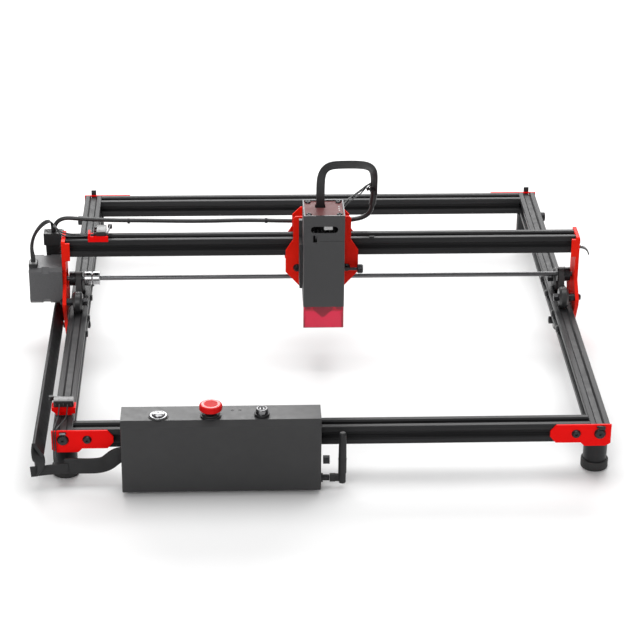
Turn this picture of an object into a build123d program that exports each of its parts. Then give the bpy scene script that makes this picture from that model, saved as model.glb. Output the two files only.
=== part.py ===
"""Desktop laser cutter: an open V-slot frame, a motor-driven gantry, a belt-driven carriage
and a diode laser head, with a control box on the front rail.

Origin: centre of the frame, on the surface it stands on. +X right, +Y back, +Z up. Millimetres.
"""

import math
import os

from build123d import *

os.makedirs("parts", exist_ok=True)

# ---------------------------------------------------------------- driving dimensions
FRAME_W = 555.0  # outer width of the rail frame
FRAME_D = 590.0  # outer depth of the rail frame
RAIL = 20.0  # side of the square V-slot profile
FOOT_H = 37.0  # height of the feet under the rails
BOARD_T = 1.6  # circuit board
SHEET = 2.0  # folded sheet brackets and covers
CLEAR = 0.35  # gap between parts that move past each other
FIT = 0.05  # radial running clearance of a shaft or bearing

WHEEL_R = 11.95  # V wheel rim
WHEEL_W = 10.2
WHEEL_RIM = 5.2  # width of the flat rim between the two V flanks
WHEEL_UP = 10.3  # axle height above the rail face that the wheel runs on
AXLE_R = 2.5
BELT_W = 6.0
BELT_T = 1.4
BELT_DEPTH = 2.7  # centre of the belt below the rail face
PULLEY_R = 6.1
PULLEY_FLANGE_R = 8.0
MOTOR = 42.3  # square of the stepper motors
MOTOR_L = 36.0
MOTOR_CHAMFER = 3.8

# ---------------------------------------------------------------- derived places
RAIL_X = (FRAME_W - RAIL) / 2  # centre line of a side rail
RAIL_BOTTOM = FOOT_H
RAIL_TOP = FOOT_H + RAIL
RAIL_Z = FOOT_H + RAIL / 2
FRONT = -FRAME_D / 2
BACK = FRAME_D / 2
CROSS_Y = BACK - RAIL / 2

BEAM_BOTTOM = RAIL_TOP + 57.0
BEAM_TOP = BEAM_BOTTOM + RAIL
BEAM_Z = BEAM_BOTTOM + RAIL / 2
PLATE_IN = 280.0  # inner face of the gantry end plates
PLATE_T = 4.0
PLATE_OUT = PLATE_IN + PLATE_T
SHAFT_Z = RAIL_TOP + 27.0  # drive shaft and motor of the gantry
WHEEL_Y = 25.5  # upper gantry wheels, in front of and behind the shaft
WHEEL_Z = RAIL_TOP + WHEEL_UP
LOWER_WHEEL_Z = RAIL_BOTTOM - WHEEL_UP

CAR_FRONT = -20.0  # front face of the front carriage plate
CAR_T = 2.5
CAR_WHEEL_X = 27.0
CAR_LOW_Z = BEAM_BOTTOM - WHEEL_UP
CAR_TOP_Z = BEAM_TOP + WHEEL_UP
CAR_MOTOR_Z = BEAM_BOTTOM - 13.5

HEAD_W = 44.0
HEAD_BACK = -28.2
HEAD_FRONT = -72.5
HEAD_Y = (HEAD_BACK + HEAD_FRONT) / 2
HEAD_BOTTOM = 81.2
HEAD_TOP = 187.9
HEAD_WALL = 1.5
SHIELD_BOTTOM = 56.0

BOX_L = -208.7
BOX_R = -12.5
BOX_FRONT = FRONT - 34.0
BOX_BOTTOM = 5.0
BOX_TOP = 82.5
CONTROL_Y = FRONT - 19.5  # row of the controls on the box


# ---------------------------------------------------------------- shared shapes
def groove(open_half=4.6, throat=3.1, lip=1.8, cavity=5.5, depth=6.1):
    """One V groove at the right-hand side of the profile, cut into the open sketch."""
    over = 0.4
    half = [(over, open_half + over), (throat - open_half, throat), (-lip, throat)]
    half += [(-lip, cavity), (-lip - 1.8, cavity), (-depth, cavity - (depth - lip - 1.8))]
    other = [(x, -y) for x, y in reversed(half)]
    Polygon(*half, *other, align=None, mode=Mode.SUBTRACT)


def v_slot_section():
    """The square profile with a V groove on each side and a bore down its middle."""
    RectangleRounded(RAIL, RAIL, 1.0)
    with PolarLocations(RAIL / 2, 4):
        groove()
    Circle(2.1, mode=Mode.SUBTRACT)


def wheel_section():
    """Half section of a V wheel: local x is the radius, local y runs along the axle."""
    flank = WHEEL_W / 2 - WHEEL_RIM / 2
    bore = AXLE_R + FIT
    Polygon(
        (bore, -WHEEL_W / 2),
        (WHEEL_R - flank, -WHEEL_W / 2),
        (WHEEL_R, -WHEEL_RIM / 2),
        (WHEEL_R, WHEEL_RIM / 2),
        (WHEEL_R - flank, WHEEL_W / 2),
        (bore, WHEEL_W / 2),
        align=None,
    )


def belt_outline(rest_half, idler_x, idler_up, pulley_up):
    """Centre line of a belt that lies in a groove, dips round two idlers and wraps a pulley.

    Local x runs along the rail, local y away from the rail face. Drawn in the open line block.
    """
    idler_r = idler_up + BELT_DEPTH
    wrap_r = PULLEY_R + CLEAR + BELT_T / 2
    rise = pulley_up - idler_up
    span = math.hypot(idler_x, rise)
    lean = math.degrees(math.atan2(rise, idler_x) - math.acos((idler_r + wrap_r) / span))
    for side in (-1, 1):
        start = (side * rest_half, -BELT_DEPTH)
        low = (side * idler_x, -BELT_DEPTH)
        Line(start, low)
        if side < 0:
            CenterArc((-idler_x, idler_up), idler_r, -90, 90 + lean)
        else:
            CenterArc((idler_x, idler_up), idler_r, -90, -90 - lean)
        a = math.radians(lean)
        leave = (side * (idler_x - idler_r * math.cos(a)), idler_up + idler_r * math.sin(a))
        meet = (side * wrap_r * math.cos(a), pulley_up - wrap_r * math.sin(a))
        Line(leave, meet)
    CenterArc((0, pulley_up), wrap_r, -lean, 180 + 2 * lean)


def plane_at(origin, along, across=None):
    """A plane at a point, whose normal runs along the given direction."""
    if across is None:
        return Plane(origin=origin, z_dir=along)
    return Plane(origin=origin, x_dir=across, z_dir=along)


def screw(origin, along, length, head_r=4.6, head_h=2.6, shank_r=AXLE_R):
    """A button-head screw, head outside the origin plane, shank running back from it."""
    face = plane_at(origin, along)
    with BuildSketch(face) as shape:
        Circle(head_r)
    extrude(shape.sketch, amount=head_h, taper=28)
    with BuildSketch(face.offset(head_h)) as shape:
        RegularPolygon(1.5, 6)
    extrude(shape.sketch, amount=-1.4, mode=Mode.SUBTRACT)
    with BuildSketch(face) as shape:
        Circle(shank_r)
    extrude(shape.sketch, amount=-length)


# ================================================================ frame
with BuildPart() as left_rail:
    with BuildSketch(Plane(origin=(-RAIL_X, FRONT, RAIL_Z), x_dir=(1, 0, 0), z_dir=(0, 1, 0))):
        v_slot_section()
    extrude(amount=FRAME_D)
left_rail.part.label = "left_rail"
export_step(left_rail.part, "parts/left_rail.step")

with BuildPart() as right_rail:
    with BuildSketch(Plane(origin=(RAIL_X, FRONT, RAIL_Z), x_dir=(1, 0, 0), z_dir=(0, 1, 0))):
        v_slot_section()
    extrude(amount=FRAME_D)
right_rail.part.label = "right_rail"
export_step(right_rail.part, "parts/right_rail.step")

CROSS_L = FRAME_W - 2 * RAIL
with BuildPart() as front_rail:
    with BuildSketch(Plane(origin=(-CROSS_L / 2, -CROSS_Y, RAIL_Z), x_dir=(0, 1, 0), z_dir=(1, 0, 0))):
        v_slot_section()
    extrude(amount=CROSS_L)
front_rail.part.label = "front_rail"
export_step(front_rail.part, "parts/front_rail.step")

with BuildPart() as rear_rail:
    with BuildSketch(Plane(origin=(-CROSS_L / 2, CROSS_Y, RAIL_Z), x_dir=(0, 1, 0), z_dir=(1, 0, 0))):
        v_slot_section()
    extrude(amount=CROSS_L)
rear_rail.part.label = "rear_rail"
export_step(rear_rail.part, "parts/rear_rail.step")

BRACKET_W = 60.0
BRACKET_OVER = 1.2  # how far a bracket stands past the side of its rail
BRACKET_DROP = 4.0  # the outer part reaches this far below the rail, over the foot
SCREW_IN = 34.0  # bracket screw, from the outer edge
SLOT_Z = RAIL_TOP - BELT_DEPTH  # height at which a belt leaves the groove
BELT_SLOT = (BELT_W + 1.4, BELT_T + 1.2)


def bracket(side, outer_face, away):
    """A corner bracket: a sheet on the end of a side rail and along the cross rail."""
    outer = side * FRAME_W / 2
    outline = [
        (-BRACKET_OVER, RAIL_TOP),
        (BRACKET_W - 6, RAIL_TOP),
        (BRACKET_W, RAIL_TOP - 7),
        (BRACKET_W, RAIL_BOTTOM + 7),
        (BRACKET_W - 6, RAIL_BOTTOM),
        (29, RAIL_BOTTOM),
        (25, RAIL_BOTTOM - BRACKET_DROP),
        (4, RAIL_BOTTOM - BRACKET_DROP),
        (-BRACKET_OVER, RAIL_BOTTOM - 1),
    ]
    points = [(outer - side * u, z) for u, z in outline]
    with BuildSketch(Plane(origin=(0, outer_face, 0), x_dir=(1, 0, 0), z_dir=(0, -1, 0))) as shape:
        Polygon(*points, align=None)
        with Locations((side * RAIL_X, RAIL_Z), (outer - side * SCREW_IN, RAIL_Z)):
            Circle(AXLE_R + 0.1, mode=Mode.SUBTRACT)
        with Locations((side * RAIL_X, SLOT_Z)):
            Rectangle(*BELT_SLOT, mode=Mode.SUBTRACT)
    extrude(shape.sketch, amount=-away * SHEET)


with BuildPart() as corner_brackets:
    for side in (-1, 1):
        bracket(side, FRONT, -1)
        bracket(side, BACK, 1)
corner_brackets.part.label = "corner_brackets"
export_step(corner_brackets.part, "parts/corner_brackets.step")

JOINT_SCREWS_Y = (-63.0, -25.0, 27.0, 65.0)
STOP_Y = 242.5
STOP_R = 5.6
SCREW_SHORT = 1.9  # shank that stays in the sheet and groove lip
with BuildPart() as frame_fasteners:
    for side in (-1, 1):
        inner = side * (FRAME_W / 2 - SCREW_IN)
        screw((inner, FRONT - SHEET, RAIL_Z), (0, -1, 0), SHEET + SCREW_SHORT, head_r=4.7)
        screw((inner, BACK + SHEET, RAIL_Z), (0, 1, 0), SHEET + SCREW_SHORT, head_r=4.7)
        screw((side * RAIL_X, FRONT - SHEET, RAIL_Z), (0, -1, 0), 1.9, head_r=6.0, shank_r=AXLE_R)
        screw((side * RAIL_X, BACK + SHEET, RAIL_Z), (0, 1, 0), 1.9, head_r=4.7, shank_r=AXLE_R)
        for y in JOINT_SCREWS_Y:
            screw((side * (RAIL_X - RAIL / 2), y, RAIL_Z), (-side, 0, 0), 5.0, head_r=4.4, head_h=2.2)
        face = plane_at((side * FRAME_W / 2, STOP_Y, RAIL_Z), (side, 0, 0))
        with BuildSketch(face):
            Circle(STOP_R)
        knob = extrude(amount=6.5)
        fillet(knob.edges().filter_by(GeomType.CIRCLE).sort_by(Axis.X)[-1 if side > 0 else 0], 1.2)
        with BuildSketch(face):
            Circle(AXLE_R)
        extrude(amount=-5)
frame_fasteners.part.label = "frame_fasteners"
export_step(frame_fasteners.part, "parts/frame_fasteners.step")

FOOT_X = 267.0
FOOT_Y = BACK - 16.0
FOOT_R = 12.0
PAD_R = 13.8
PAD_H = 10.0
FOOT_BORE = 2.6
with BuildPart() as foot_tubes:
    with BuildSketch(Plane.XY.offset(PAD_H)):
        with GridLocations(2 * FOOT_X, 2 * FOOT_Y, 2, 2):
            Circle(FOOT_R)
            Circle(FOOT_BORE, mode=Mode.SUBTRACT)
    extrude(amount=FOOT_H - PAD_H)
foot_tubes.part.label = "foot_tubes"
export_step(foot_tubes.part, "parts/foot_tubes.step")

with BuildPart() as foot_pads:
    with BuildSketch(Plane.XY):
        with GridLocations(2 * FOOT_X, 2 * FOOT_Y, 2, 2):
            Circle(PAD_R)
    extrude(amount=PAD_H)
    fillet(foot_pads.edges().group_by(Axis.Z)[0], 1.5)
    fillet(foot_pads.edges().group_by(Axis.Z)[-1], 1.0)
    with BuildSketch(Plane.XY):
        with GridLocations(2 * FOOT_X, 2 * FOOT_Y, 2, 2):
            Circle(FOOT_BORE)
    extrude(amount=PAD_H, mode=Mode.SUBTRACT)
foot_pads.part.label = "foot_pads"
export_step(foot_pads.part, "parts/foot_pads.step")

BELT_TAIL = 9.0  # belt end that stands up behind the rear bracket


def rail_belt(side):
    """A timing belt along one side rail, over its pulley, with its end turned up at the back."""
    x = side * RAIL_X
    half = BACK + SHEET + 0.9
    with BuildSketch(Plane(origin=(x, 0, RAIL_TOP), x_dir=(0, 1, 0), z_dir=(1, 0, 0))) as shape:
        with BuildLine() as route:
            belt_outline(half, WHEEL_Y, WHEEL_UP, SHAFT_Z - RAIL_TOP)
        trace(route.line, line_width=BELT_T)
        with Locations((half + 0.7, -BELT_DEPTH - BELT_T / 2)):
            Rectangle(BELT_T, BELT_TAIL, align=(Align.CENTER, Align.MIN))
    extrude(shape.sketch, amount=BELT_W / 2, both=True)


with BuildPart() as y_belts:
    for side in (-1, 1):
        rail_belt(side)
y_belts.part.label = "y_belts"
export_step(y_belts.part, "parts/y_belts.step")

# ================================================================ control box
BOX_MID_X = (BOX_L + BOX_R) / 2
BOX_W = BOX_R - BOX_L
CHAMFER_Y = 5.5
CHAMFER_Z = 5.0
BUTTON_X = -171.7
STOP_X = -120.5
KEY_X = -70.5
LED_X = (-99.4, -92.0)
LED_Y = FRONT - 9.5
BUTTON_BODY_R = 8.0
ESTOP_BODY_R = 8.8
KEY_BODY_R = 6.0
ANTENNA_Y = FRONT - 20.0
ANTENNA_Z = 11.0
JACK_Y = FRONT - 9.0
JACK_Z = 34.0
JACK_BORE = 3.0
JACK_DEPTH = 9.5
JACK_BODY = 11.0
USB_Z = 56.0
CABLE_SLOT_Z = 34.0


def box_profile(inset):
    """Side outline of the control box, moved in by the given wall."""
    back = FRONT
    front = BOX_FRONT + inset
    top = BOX_TOP - inset
    Polygon(
        (back, BOX_BOTTOM + inset),
        (front, BOX_BOTTOM + inset),
        (front, BOX_TOP - CHAMFER_Z - inset * 0.4),
        (front + CHAMFER_Y - inset * 0.4, top),
        (back, top),
        align=None,
    )


with BuildPart() as box_cover:
    with BuildSketch(Plane.YZ.offset(BOX_L)):
        box_profile(0)
    extrude(amount=BOX_W)
    front_corners = box_cover.edges().filter_by(Axis.Z).group_by(Axis.Y)[0]
    fillet(front_corners, 1.8)
    with BuildSketch(Plane.YZ.offset(BOX_L + SHEET)):
        box_profile(SHEET)
    extrude(amount=BOX_W - 2 * SHEET, mode=Mode.SUBTRACT)
    with BuildSketch(Plane.XY.offset(BOX_TOP + 1)):
        with Locations((BUTTON_X, CONTROL_Y)):
            Circle(BUTTON_BODY_R)
        with Locations((STOP_X, CONTROL_Y)):
            Circle(ESTOP_BODY_R)
        with Locations((KEY_X, CONTROL_Y)):
            Circle(KEY_BODY_R)
        with Locations(*[(x, LED_Y) for x in LED_X]):
            Circle(1.5)
    extrude(amount=-SHEET - 2, mode=Mode.SUBTRACT)
    with BuildSketch(Plane.YZ.offset(BOX_R + 1)):
        with Locations((JACK_Y, JACK_Z)):
            Circle(5.0)
        with Locations((JACK_Y, USB_Z)):
            RectangleRounded(3.6, 9.4, 1.6)
        with Locations((ANTENNA_Y, ANTENNA_Z)):
            Circle(3.2)
    extrude(amount=-SHEET - 2, mode=Mode.SUBTRACT)
    with BuildSketch(Plane.YZ.offset(BOX_L - 1)):
        with Locations((FRONT - 9, CABLE_SLOT_Z)):
            RectangleRounded(4.6, 19.0, 1.5)
    extrude(amount=SHEET + 2, mode=Mode.SUBTRACT)
box_cover.part.label = "box_cover"
export_step(box_cover.part, "parts/box_cover.step")

with BuildPart() as box_back_plate:
    with BuildSketch(Plane(origin=(BOX_MID_X, FRONT, 0), x_dir=(1, 0, 0), z_dir=(0, -1, 0))):
        with Locations((0, (BOX_BOTTOM + BOX_TOP) / 2)):
            RectangleRounded(BOX_W - 2 * SHEET - 0.2, BOX_TOP - BOX_BOTTOM - 2 * SHEET - 0.2, 1.0)
        with Locations((-70, RAIL_Z), (70, RAIL_Z)):
            Circle(AXLE_R + 0.1, mode=Mode.SUBTRACT)
    extrude(amount=SHEET)
box_back_plate.part.label = "box_back_plate"
export_step(box_back_plate.part, "parts/box_back_plate.step")

BOARD_Y = FRONT - 8.0
with BuildPart() as controller_board:
    with BuildSketch(Plane(origin=(BOX_MID_X, BOARD_Y, 0), x_dir=(1, 0, 0), z_dir=(0, -1, 0))):
        with Locations((18, 38)):
            Rectangle(BOX_W - 66, 54)
            with GridLocations(BOX_W - 76, 44, 2, 2):
                Circle(1.6, mode=Mode.SUBTRACT)
    extrude(amount=BOARD_T)
    front_of_board = BOARD_Y - BOARD_T
    for dx, dz, wide, tall, deep in ((-20, 40, 14, 14, 2.2), (5, 30, 16, 20, 4), (5, 52, 16, 16, 4)):
        with BuildSketch(Plane(origin=(BOX_MID_X, front_of_board, 0), x_dir=(1, 0, 0), z_dir=(0, -1, 0))):
            with Locations((dx, dz)):
                Rectangle(wide, tall)
        extrude(amount=deep)
    jack_in = BOX_R - SHEET - 0.5
    with BuildSketch(Plane.YZ.offset(jack_in)):
        with Locations((JACK_Y, JACK_Z)):
            Rectangle(JACK_BODY, JACK_BODY)
            Circle(JACK_BORE, mode=Mode.SUBTRACT)
    extrude(amount=-JACK_DEPTH)
    with BuildSketch(Plane.YZ.offset(jack_in - JACK_DEPTH)):
        with Locations((JACK_Y, JACK_Z)):
            Rectangle(JACK_BODY, JACK_BODY)
    extrude(amount=-3)
    with BuildSketch(Plane.YZ.offset(jack_in)):
        with Locations((JACK_Y, USB_Z)):
            Rectangle(JACK_BODY, 9)
        with Locations((JACK_Y, USB_Z)):
            RectangleRounded(2.6, 8.4, 1.2, mode=Mode.SUBTRACT)
    extrude(amount=-JACK_DEPTH - 3)
controller_board.part.label = "controller_board"
export_step(controller_board.part, "parts/controller_board.step")

BUTTON_R = 6.2
BUTTON_TOP = BOX_TOP + 2.6
with BuildPart() as power_button_bezel:
    with BuildSketch(Plane.XY.offset(BOX_TOP)):
        with Locations((BUTTON_X, CONTROL_Y)):
            Circle(9.1)
            Circle(BUTTON_R + CLEAR, mode=Mode.SUBTRACT)
    extrude(amount=1.6)
    chamfer(power_button_bezel.edges().group_by(Axis.Z)[-1].sort_by(SortBy.LENGTH)[-1], 0.7)
    with BuildSketch(Plane.XY.offset(BOX_TOP)):
        with Locations((BUTTON_X, CONTROL_Y)):
            Circle(BUTTON_BODY_R - 0.1)
            Circle(BUTTON_R + CLEAR, mode=Mode.SUBTRACT)
    extrude(amount=-12)
    with BuildSketch(Plane.XY.offset(BOX_TOP - 12)):
        with Locations((BUTTON_X, CONTROL_Y)):
            Circle(BUTTON_BODY_R - 0.1)
    extrude(amount=-4)
power_button_bezel.part.label = "power_button_bezel"
export_step(power_button_bezel.part, "parts/power_button_bezel.step")

with BuildPart() as power_button_cap:
    with BuildSketch(Plane.XY.offset(BUTTON_TOP)):
        with Locations((BUTTON_X, CONTROL_Y)):
            Circle(BUTTON_R)
    extrude(amount=-11)
    fillet(power_button_cap.edges().group_by(Axis.Z)[-1], 0.5)
power_button_cap.part.label = "power_button_cap"
export_step(power_button_cap.part, "parts/power_button_cap.step")

ESTOP_STEM_R = 5.0
ESTOP_CAP_R = 11.3
ESTOP_CAP_Z = BOX_TOP + 6.8
ESTOP_CAP_H = 6.0
with BuildPart() as emergency_stop_base:
    with BuildSketch(Plane.XY.offset(BOX_TOP - 16)):
        with Locations((STOP_X, CONTROL_Y)):
            Circle(ESTOP_BODY_R - 0.1)
            Circle(ESTOP_STEM_R + CLEAR, mode=Mode.SUBTRACT)
    extrude(amount=19)
    with BuildSketch(Plane.XY.offset(BOX_TOP)):
        with Locations((STOP_X, CONTROL_Y)):
            Circle(ESTOP_BODY_R + 1.6)
            Circle(ESTOP_STEM_R + CLEAR, mode=Mode.SUBTRACT)
    extrude(amount=1.4)
    with BuildSketch(Plane.XY.offset(BOX_TOP - 16)):
        with Locations((STOP_X, CONTROL_Y)):
            Circle(ESTOP_BODY_R - 0.1)
    extrude(amount=-8)
emergency_stop_base.part.label = "emergency_stop_base"
export_step(emergency_stop_base.part, "parts/emergency_stop_base.step")

ESTOP_TIP = ESTOP_CAP_Z + 3.4  # top of the plunger, inside the cap
with BuildPart() as emergency_stop_plunger:
    with BuildSketch(Plane.XY.offset(ESTOP_CAP_Z - 15)):
        with Locations((STOP_X, CONTROL_Y)):
            Circle(ESTOP_STEM_R)
    extrude(amount=14.6)
    with BuildSketch(Plane.XY.offset(ESTOP_CAP_Z - 1)):
        with Locations((STOP_X, CONTROL_Y)):
            Circle(2.6)
    extrude(amount=ESTOP_TIP - ESTOP_CAP_Z + 1)
emergency_stop_plunger.part.label = "emergency_stop_plunger"
export_step(emergency_stop_plunger.part, "parts/emergency_stop_plunger.step")

with BuildPart() as emergency_stop_cap:
    with BuildSketch(Plane.XY.offset(ESTOP_CAP_Z)):
        with Locations((STOP_X, CONTROL_Y)):
            Circle(ESTOP_CAP_R)
    extrude(amount=ESTOP_CAP_H)
    fillet(emergency_stop_cap.edges().group_by(Axis.Z)[-1], 2.0)
    chamfer(emergency_stop_cap.edges().group_by(Axis.Z)[0], 0.8)
    with BuildSketch(Plane.XY.offset(ESTOP_CAP_Z)):
        with Locations((STOP_X, CONTROL_Y)):
            Circle(2.6 + FIT)
    extrude(amount=ESTOP_TIP - ESTOP_CAP_Z + 0.2, mode=Mode.SUBTRACT)
emergency_stop_cap.part.label = "emergency_stop_cap"
export_step(emergency_stop_cap.part, "parts/emergency_stop_cap.step")

KEY_BARREL_R = 4.2
KEY_RING_TOP = BOX_TOP + 7.6
with BuildPart() as key_switch_body:
    with BuildSketch(Plane.XY.offset(BOX_TOP)):
        with Locations((KEY_X, CONTROL_Y)):
            Circle(7.2)
            Circle(KEY_BARREL_R + FIT * 2, mode=Mode.SUBTRACT)
    extrude(amount=2.4)
    with BuildSketch(Plane.XY.offset(BOX_TOP - 14)):
        with Locations((KEY_X, CONTROL_Y)):
            Circle(KEY_BODY_R - 0.1)
            Circle(KEY_BARREL_R + FIT * 2, mode=Mode.SUBTRACT)
    extrude(amount=14 + 7.6)
    chamfer(key_switch_body.edges().group_by(Axis.Z)[-1].sort_by(SortBy.LENGTH)[-1], 0.8)
    with BuildSketch(Plane.XY.offset(BOX_TOP - 14)):
        with Locations((KEY_X, CONTROL_Y)):
            Circle(KEY_BODY_R - 0.1)
    extrude(amount=-4)
key_switch_body.part.label = "key_switch_body"
export_step(key_switch_body.part, "parts/key_switch_body.step")

with BuildPart() as key_barrel:
    with BuildSketch(Plane.XY.offset(KEY_RING_TOP - 0.4)):
        with Locations((KEY_X, CONTROL_Y)):
            Circle(KEY_BARREL_R)
    extrude(amount=-17)
    with BuildSketch(Plane.XY.offset(KEY_RING_TOP - 0.4)):
        with Locations((KEY_X, CONTROL_Y)):
            Rectangle(1.6, 5.4)
    extrude(amount=-6, mode=Mode.SUBTRACT)
key_barrel.part.label = "key_barrel"
export_step(key_barrel.part, "parts/key_barrel.step")

KNUCKLE_X = BOX_R + 9.0  # where the antenna's knuckle starts to turn
WHIP_X = BOX_R + 21.5
with BuildPart() as antenna_connector:
    with BuildSketch(Plane.YZ.offset(BOX_R)):
        with Locations((ANTENNA_Y, ANTENNA_Z)):
            RegularPolygon(4.6, 6)
    extrude(amount=2.2)
    with BuildSketch(Plane.YZ.offset(BOX_R - 6)):
        with Locations((ANTENNA_Y, ANTENNA_Z)):
            Circle(3.1)
    extrude(amount=14.6)
antenna_connector.part.label = "antenna_connector"
export_step(antenna_connector.part, "parts/antenna_connector.step")

KNUCKLE_R = 4.3
FORK_GAP = 4.6
with BuildPart() as antenna_knuckle:
    with BuildSketch(Plane.YZ.offset(KNUCKLE_X)):
        with Locations((ANTENNA_Y, ANTENNA_Z)):
            Circle(KNUCKLE_R)
    extrude(amount=5.4)
    with BuildSketch(Plane.XY.offset(ANTENNA_Z - 3.5)):
        with Locations(((KNUCKLE_X + 5.4 + WHIP_X) / 2, ANTENNA_Y)):
            Rectangle(WHIP_X - KNUCKLE_X - 5.4, FORK_GAP - 0.8)
    extrude(amount=7.0)
    with BuildSketch(Plane(origin=(WHIP_X, ANTENNA_Y, ANTENNA_Z), z_dir=(0, 1, 0))):
        Circle(3.5)
    extrude(amount=(FORK_GAP - 0.8) / 2, both=True)
    with BuildSketch(Plane(origin=(WHIP_X, ANTENNA_Y, ANTENNA_Z), z_dir=(0, 1, 0))):
        Circle(1.2 + FIT)
    extrude(amount=5, both=True, mode=Mode.SUBTRACT)
antenna_knuckle.part.label = "antenna_knuckle"
export_step(antenna_knuckle.part, "parts/antenna_knuckle.step")

WHIP_R = 4.15
WHIP_TOP = 62.0
WHIP_TAIL = 5.6
with BuildPart() as antenna_whip:
    with BuildSketch(Plane.XY.offset(ANTENNA_Z - WHIP_TAIL)):
        with Locations((WHIP_X, ANTENNA_Y)):
            Circle(WHIP_R)
    extrude(amount=22)
    with BuildSketch(Plane.XY.offset(ANTENNA_Z - WHIP_TAIL + 22)):
        with Locations((WHIP_X, ANTENNA_Y)):
            Circle(WHIP_R)
    extrude(amount=WHIP_TOP - ANTENNA_Z + WHIP_TAIL - 22, taper=0.9)
    fillet(antenna_whip.edges().group_by(Axis.Z)[-1], 2.4)
    fillet(antenna_whip.edges().group_by(Axis.Z)[0], 1.5)
    with BuildSketch(Plane.XY.offset(ANTENNA_Z + 5.2)):
        with Locations((WHIP_X, ANTENNA_Y)):
            Rectangle(12, FORK_GAP)
    extrude(amount=-14, mode=Mode.SUBTRACT)
    with BuildSketch(Plane(origin=(WHIP_X, ANTENNA_Y, ANTENNA_Z), z_dir=(0, 1, 0))):
        Circle(1.2)
    extrude(amount=FORK_GAP / 2 + 0.5, both=True)
antenna_whip.part.label = "antenna_whip"
export_step(antenna_whip.part, "parts/antenna_whip.step")

# ---------------------------------------------------------------- gantry limit switch, on the left rail
SWITCH_L = 20.0
SWITCH_W = 10.2
SWITCH_H = 6.4
SWITCH_PITCH = 9.5
LEVER_T = 0.6
Y_SWITCH_X = -RAIL_X - 0.5
Y_SWITCH_Y = FRONT + 36.0
Y_SWITCH_Z = RAIL_TOP + 9.2
with BuildPart() as y_switch_bracket:
    web_front = Y_SWITCH_Y - 6.75
    with BuildSketch(Plane.XY.offset(RAIL_TOP)):
        with Locations((Y_SWITCH_X, Y_SWITCH_Y)):
            Rectangle(16, 10)
    extrude(amount=1.5)
    with BuildSketch(Plane(origin=(0, Y_SWITCH_Y + 5, 0), x_dir=(1, 0, 0), z_dir=(0, -1, 0))):
        with Locations((Y_SWITCH_X, (RAIL_TOP + Y_SWITCH_Z) / 2)):
            Rectangle(16, Y_SWITCH_Z - RAIL_TOP)
    extrude(amount=1.5)
    with BuildSketch(Plane.XY.offset(Y_SWITCH_Z - 1.5)):
        with Locations((Y_SWITCH_X, (web_front + Y_SWITCH_Y + 5) / 2)):
            Rectangle(24, Y_SWITCH_Y + 5 - web_front)
    extrude(amount=1.5)
    with BuildSketch(Plane(origin=(0, web_front + 1.5, 0), x_dir=(1, 0, 0), z_dir=(0, -1, 0))):
        Polygon(
            (Y_SWITCH_X - 8, Y_SWITCH_Z - 6.5),
            (Y_SWITCH_X + 11.5, Y_SWITCH_Z - 6.5),
            (Y_SWITCH_X + 12, Y_SWITCH_Z),
            (Y_SWITCH_X - 12, Y_SWITCH_Z),
            (Y_SWITCH_X - 12, Y_SWITCH_Z - 3.0),
            align=None,
        )
        with Locations((Y_SWITCH_X, Y_SWITCH_Z - 6.5)):
            Rectangle(6, 2, mode=Mode.SUBTRACT)
    extrude(amount=1.5)
y_switch_bracket.part.label = "y_switch_bracket"
export_step(y_switch_bracket.part, "parts/y_switch_bracket.step")


def microswitch(cx, cy, base_z, turn):
    """A small switch lying flat on its side, with two mounting holes, turned about Z."""
    where = Plane(origin=(cx, cy, base_z), x_dir=(math.cos(turn), math.sin(turn), 0), z_dir=(0, 0, 1))
    with BuildSketch(where) as shape:
        RectangleRounded(SWITCH_L, SWITCH_W, 0.6)
        with GridLocations(SWITCH_PITCH, 1, 2, 1):
            with Locations((0, -2.3)):
                Circle(1.25, mode=Mode.SUBTRACT)
    extrude(shape.sketch, amount=SWITCH_H)
    with BuildSketch(where.offset(SWITCH_H / 2 - 1.6)) as shape:
        with Locations((0, -SWITCH_W / 2 - 1.6)):
            with GridLocations(7.6, 1, 3, 1):
                Rectangle(0.8, 3.4)
    extrude(shape.sketch, amount=3.2)


def switch_lever(cx, cy, base_z, turn):
    """The sprung blade of a switch, with a bent tip, hinged at one end of its housing."""
    where = Plane(
        origin=(cx, cy, base_z + SWITCH_H / 2 - 1.9),
        x_dir=(math.cos(turn), math.sin(turn), 0),
        z_dir=(0, 0, 1),
    )
    back = SWITCH_W / 2 + CLEAR
    with BuildSketch(where) as shape:
        Polygon(
            (SWITCH_L / 2 - 2, back),
            (SWITCH_L / 2 - 2, back + LEVER_T),
            (-SWITCH_L / 2 - 2, back + 3.4 + LEVER_T),
            (-SWITCH_L / 2 - 2, back + 3.4),
            align=None,
        )
        with Locations((-SWITCH_L / 2 - 3.2, back + 3.5)):
            Circle(2.2)
        with Locations((SWITCH_L / 2 - 2, back + LEVER_T / 2)):
            Circle(LEVER_T / 2)
    extrude(shape.sketch, amount=3.8)


with BuildPart() as y_limit_switch:
    microswitch(Y_SWITCH_X, Y_SWITCH_Y, Y_SWITCH_Z, 0)
y_limit_switch.part.label = "y_limit_switch"
export_step(y_limit_switch.part, "parts/y_limit_switch.step")

with BuildPart() as y_switch_lever:
    switch_lever(Y_SWITCH_X, Y_SWITCH_Y, Y_SWITCH_Z, 0)
y_switch_lever.part.label = "y_switch_lever"
export_step(y_switch_lever.part, "parts/y_switch_lever.step")

# ================================================================ gantry
TAB_W = 5.0
TAB_Z = (RAIL_TOP + 55.0, RAIL_TOP + 75.5)
PLATE_TOP_HALF = 16.0
PLATE_WIDE_HALF = 34.0
PLATE_TOP = BEAM_TOP + 0.8
PILOT_R = 11.0


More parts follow.
